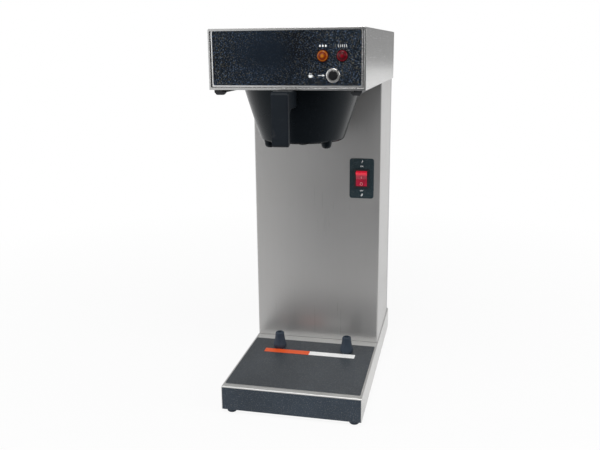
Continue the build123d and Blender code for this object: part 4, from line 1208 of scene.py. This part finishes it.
    def cup(self) -> Piece:
        """Models a cup with its handle and two lines of steam.

        Returns:
            The cup, flat on the XY plane.
        """
        width, height = self.cup_width, self.cup_height
        bowl = rectangle("cup_bowl", width, height)
        bpy.ops.transform.translate(value=(0, -height * self.cup_drop, 0))
        grasp(bowl, lambda place: place.y < -height * 0.5)
        bpy.ops.transform.resize(value=(self.cup_foot, 1.0, 1.0))
        bpy.ops.mesh.bevel(offset=height * self.cup_corner, segments=4, affect="VERTICES")
        raise_flat(bowl, self.print_depth)
        deselect()
        bpy.ops.mesh.primitive_torus_add(
            major_radius=height * self.ear_radius,
            minor_radius=self.wave_width,
            major_segments=28,
            minor_segments=8,
            location=(width * 0.5, -height * self.ear_drop, 0),
        )
        ear = started("cup_ear")
        self.flatten(ear)
        rise = height * self.steam_height
        aside = width * self.steam_side
        steam = spread(self.wave(rise), ((-aside, rise, 0), (aside, rise, 0)))
        return join("brew_symbol", [bowl, ear, *steam])

    def arrow(self) -> Piece:
        """Models an arrow that points right.

        Returns:
            The arrow, flat on the XY plane.
        """
        shaft_length = self.arrow_length * self.shaft_share
        shaft = rectangle("arrow_shaft", shaft_length, self.wave_width * self.shaft_thickness)
        bpy.ops.transform.translate(value=(-shaft_length / 2, 0, 0))
        raise_flat(shaft, self.print_depth)
        deselect()
        head_radius = self.arrow_length * self.head_share
        bpy.ops.mesh.primitive_circle_add(vertices=3, radius=head_radius, fill_type="NGON")
        head = started("arrow_head")
        grasp(head)
        bpy.ops.transform.rotate(value=math.pi / 2, orient_axis="Z", center_override=(0, 0, 0))
        bpy.ops.mesh.bevel(offset=self.arrow_corner, segments=2, affect="VERTICES")
        raise_flat(head, self.print_depth)
        return join("push_symbol", [shaft, head])


@dataclass
class BrewFunnel(SubAssembly):
    """The black funnel and its handle."""

    def __post_init__(self) -> None:
        """Sets the finish of each node of the funnel."""
        self.body = "funnel"
        self.finishes = {
            "brew_funnel": MouldedPlastic(
                "funnel_black", (0.0024, 0.0032, 0.0044), roughness=0.25, grain_depth=0.02 * MM,
                specular=0.15, shine=(0.72, 0.88, 1.0), dust=0.02,
            ),
            "funnel_handle": MouldedPlastic(
                "handle_black", (0.006, 0.009, 0.013), roughness=0.38, specular=0.18
            ),
            "handle_screws": ZINC,
        }


@dataclass
class WaterSystem(SubAssembly):
    """The tank, heater, valve, tubes and electrics behind the panels."""

    def __post_init__(self) -> None:
        """Sets the finish of each hidden node."""
        coil = PlatedMetal(
            "heat_tinted_steel", (0.36, 0.33, 0.30), roughness=0.38, tarnish=(0.22, 0.16, 0.2),
            tarnish_share=0.6,
        )
        copper = PlatedMetal(
            "drawn_copper", (0.78, 0.44, 0.30), roughness=0.22, tarnish=(0.35, 0.15, 0.08),
            tarnish_share=0.35,
        )
        self.finishes = {
            "tank_shelf": INNER_STEEL,
            "water_tank": INNER_STEEL,
            "tank_gasket": SILICONE,
            "tank_lid": INNER_STEEL,
            "lid_screws": ZINC,
            "heating_element": coil,
            "level_probe": ZINC,
            "thermostat": CREAM,
            "thermal_cutoff": CREAM,
            "valve_body": BRASS,
            "valve_coil": MouldedPlastic("coil_resin", (0.03, 0.03, 0.035), roughness=0.35),
            "valve_plunger": ZINC,
            "valve_spring": ZINC,
            "fill_tube": copper,
            "control_board": CircuitBoard("solder_mask", (0.018, 0.16, 0.06)),
            "terminal_block": CREAM,
        }


@dataclass(frozen=True)
class SoftLamp:
    """A square soft lamp, its side in metres and its power in watts."""

    name: str
    place: Triple
    side: float
    power: float

    def hang(self, target: Vector) -> None:
        """Hangs the lamp in the studio.

        Args:
            target: The point that it faces.
        """
        deselect()
        bpy.ops.object.light_add(type="AREA", location=self.place)
        lamp = bpy.context.object
        lamp.name = self.name
        lamp.data.size = self.side
        lamp.data.energy = self.power
        lamp.rotation_euler = (target - Vector(self.place)).to_track_quat("-Z", "Y").to_euler()


@dataclass
class Studio:
    """Camera, floor, room and lamps, all in the row frame.

    Each edge is where one tone turns into the next: in metres for the floor's
    fade and the paper, as a bearing for the room that the floor mirrors, and
    as a part of the ray's direction for the front, the back and the window.
    """

    camera_place: Triple = (0.2313, -1.1318, 0.5477)
    camera_yaw: float = -12.67
    camera_pitch: float = 14.0
    camera_roll: float = -0.54
    lens: float = 42.92
    sensor_width: float = 36.0
    clip: Pair = (0.01, 60.0)
    floor_size: float = 36.0
    floor_tones: Pair = (0.80, 0.84)
    floor_scale: float = 3.0
    floor_white: float = 0.90
    floor_fade_edge: Pair = (0.35, 1.3)
    paper_white: float = 1.0
    paper_edge: Pair = (-0.75, -0.05)
    room_dark: Colour = (0.085, 0.092, 0.105)
    room_light: Colour = (1.0, 1.0, 1.0)
    room_edge: Pair = (-0.31, -0.17)
    room_reach: float = 0.35
    room_nearest: float = 0.1
    world_level: float = 0.45
    front_left: float = 1.0
    front_right: float = 0.12
    front_edge: Pair = (-0.34, -0.12)
    back_wall: float = 0.36
    back_edge: Pair = (-0.3, 0.3)
    left_window: Colour = (0.58, 0.68, 0.80)
    window_edge: Pair = (-0.95, -0.6)
    lamp_target: Triple = (0.0, 0.0, 0.3)
    lamps: tuple[SoftLamp, ...] = (
        SoftLamp("side_lamp", (1.7, -0.6, 1.1), 1.2, 14.0),
        SoftLamp("left_lamp", (-1.5, -1.0, 0.9), 0.9, 5.0),
        SoftLamp("top_lamp", (0.1, -1.4, 1.8), 0.9, 20.0),
    )

    def camera(self) -> None:
        """Sets the camera where the photograph was taken from."""
        angles = (self.camera_yaw, self.camera_pitch, self.camera_roll)
        yaw, pitch, roll = (math.radians(angle) for angle in angles)
        ahead = Vector((math.sin(yaw) * math.cos(pitch), math.cos(yaw) * math.cos(pitch), -math.sin(pitch)))
        level = Vector((math.cos(yaw), -math.sin(yaw), 0))
        over = level.cross(ahead)
        right = level * math.cos(roll) + over * math.sin(roll)
        above = over * math.cos(roll) - level * math.sin(roll)
        turn = Matrix((right, above, -ahead)).transposed().to_4x4()
        deselect()
        bpy.ops.object.camera_add()
        camera = started("camera")
        camera.matrix_world = Matrix.Translation(self.camera_place) @ turn
        camera.data.sensor_width = self.sensor_width
        camera.data.lens = self.lens
        camera.data.clip_start, camera.data.clip_end = self.clip
        bpy.context.scene.camera = camera

    def room_tone(self, graph: Graph) -> Socket:
        """How bright the floor looks in a reflection.

        The paper is white under and behind the machine. In front lies the
        darker half of the room, with some daylight on its left.

        Args:
            graph: The floor's material.

        Returns:
            The colour socket.
        """
        axes = graph.add("SeparateXYZ", {0: graph.place()}).outputs
        depth = graph.maths("SUBTRACT", self.room_reach, axes["Y"])
        bearing = graph.maths("DIVIDE", axes["X"], graph.maths("MAXIMUM", depth, self.room_nearest))
        darkness = graph.span(bearing, *self.room_edge)
        room = graph.blend(darkness, rgba(self.room_light), rgba(self.room_dark))
        paper = graph.span(axes["Y"], *self.paper_edge)
        return graph.blend(paper, room, grey(self.paper_white))

    def floor(self) -> None:
        """Lays a pale floor that keeps a soft shadow."""
        deselect()
        bpy.ops.mesh.primitive_plane_add(size=self.floor_size)
        plane = started("studio_floor")
        graph = Graph(bpy.data.materials.new("pale_floor"))
        speck = graph.noise(graph.place(), self.floor_scale, detail=2.0)
        darker, lighter = (grey(level) for level in self.floor_tones)
        tone = graph.blend(speck, darker, lighter)
        paper = graph.add("BsdfDiffuse", {"Color": tone}).outputs[0]
        path = graph.add("LightPath").outputs
        mirror = graph.maths("MAXIMUM", path["Is Glossy Ray"], path["Is Transmission Ray"])
        look = graph.blend(mirror, grey(1.0), self.room_tone(graph))
        glow = graph.add("Emission", {"Color": look, "Strength": 1.0}).outputs[0]
        reach = graph.length(graph.place())
        fade = graph.span(reach, *self.floor_fade_edge, self.floor_white, 1.0)
        shown = graph.maths("MAXIMUM", path["Is Camera Ray"], mirror)
        share = graph.maths("MULTIPLY", shown, fade)
        mixed = graph.add("MixShader", {0: share, 1: paper, 2: glow}).outputs[0]
        graph.add("OutputMaterial", {"Surface": mixed})
        plane.data.materials.append(graph.owner)

    def world(self) -> None:
        """Fills the room with soft grey light against a white backdrop."""
        world = bpy.data.worlds.new("studio_room")
        bpy.context.scene.world = world
        graph = Graph(world)
        path = graph.add("LightPath").outputs
        seen = graph.maths("MAXIMUM", path["Is Camera Ray"], path["Is Transmission Ray"])
        ray = graph.add("TexCoord").outputs["Generated"]
        way = graph.add("SeparateXYZ", {0: ray}).outputs
        no_window = graph.span(way["X"], *self.window_edge)
        window = graph.blend(no_window, rgba(self.left_window), grey(0.0))
        front = graph.span(way["X"], *self.front_edge, self.front_left, self.front_right)
        behind = graph.span(way["Y"], *self.back_edge)
        wall = graph.add("Mix", {0: behind, 2: front, 3: self.back_wall}).outputs[0]
        wall = graph.blend(1.0, wall, window, "ADD")
        room = graph.blend(path["Is Glossy Ray"], grey(self.world_level), wall)
        level = graph.blend(seen, room, grey(1.0))
        glow = graph.add("Background", {0: level, 1: 1.0}).outputs[0]
        graph.add("OutputWorld", {0: glow})

    def build(self) -> None:
        """Sets up the whole studio."""
        bpy.context.scene.view_settings.view_transform = "Standard"
        self.camera()
        self.floor()
        self.world()
        for lamp in self.lamps:
            lamp.hang(Vector(self.lamp_target))


def main() -> None:
    """Builds the studio and dresses each sub-assembly in order."""
    logging.basicConfig(level=logging.INFO, format="%(name)s %(message)s")
    Studio().build()
    for kind in (Base, Tower, PowerSwitch, Head, ControlPanel, BrewFunnel, WaterSystem):
        part = kind()
        part.dress()
        part.model()


if __name__ == "__main__":
    main()
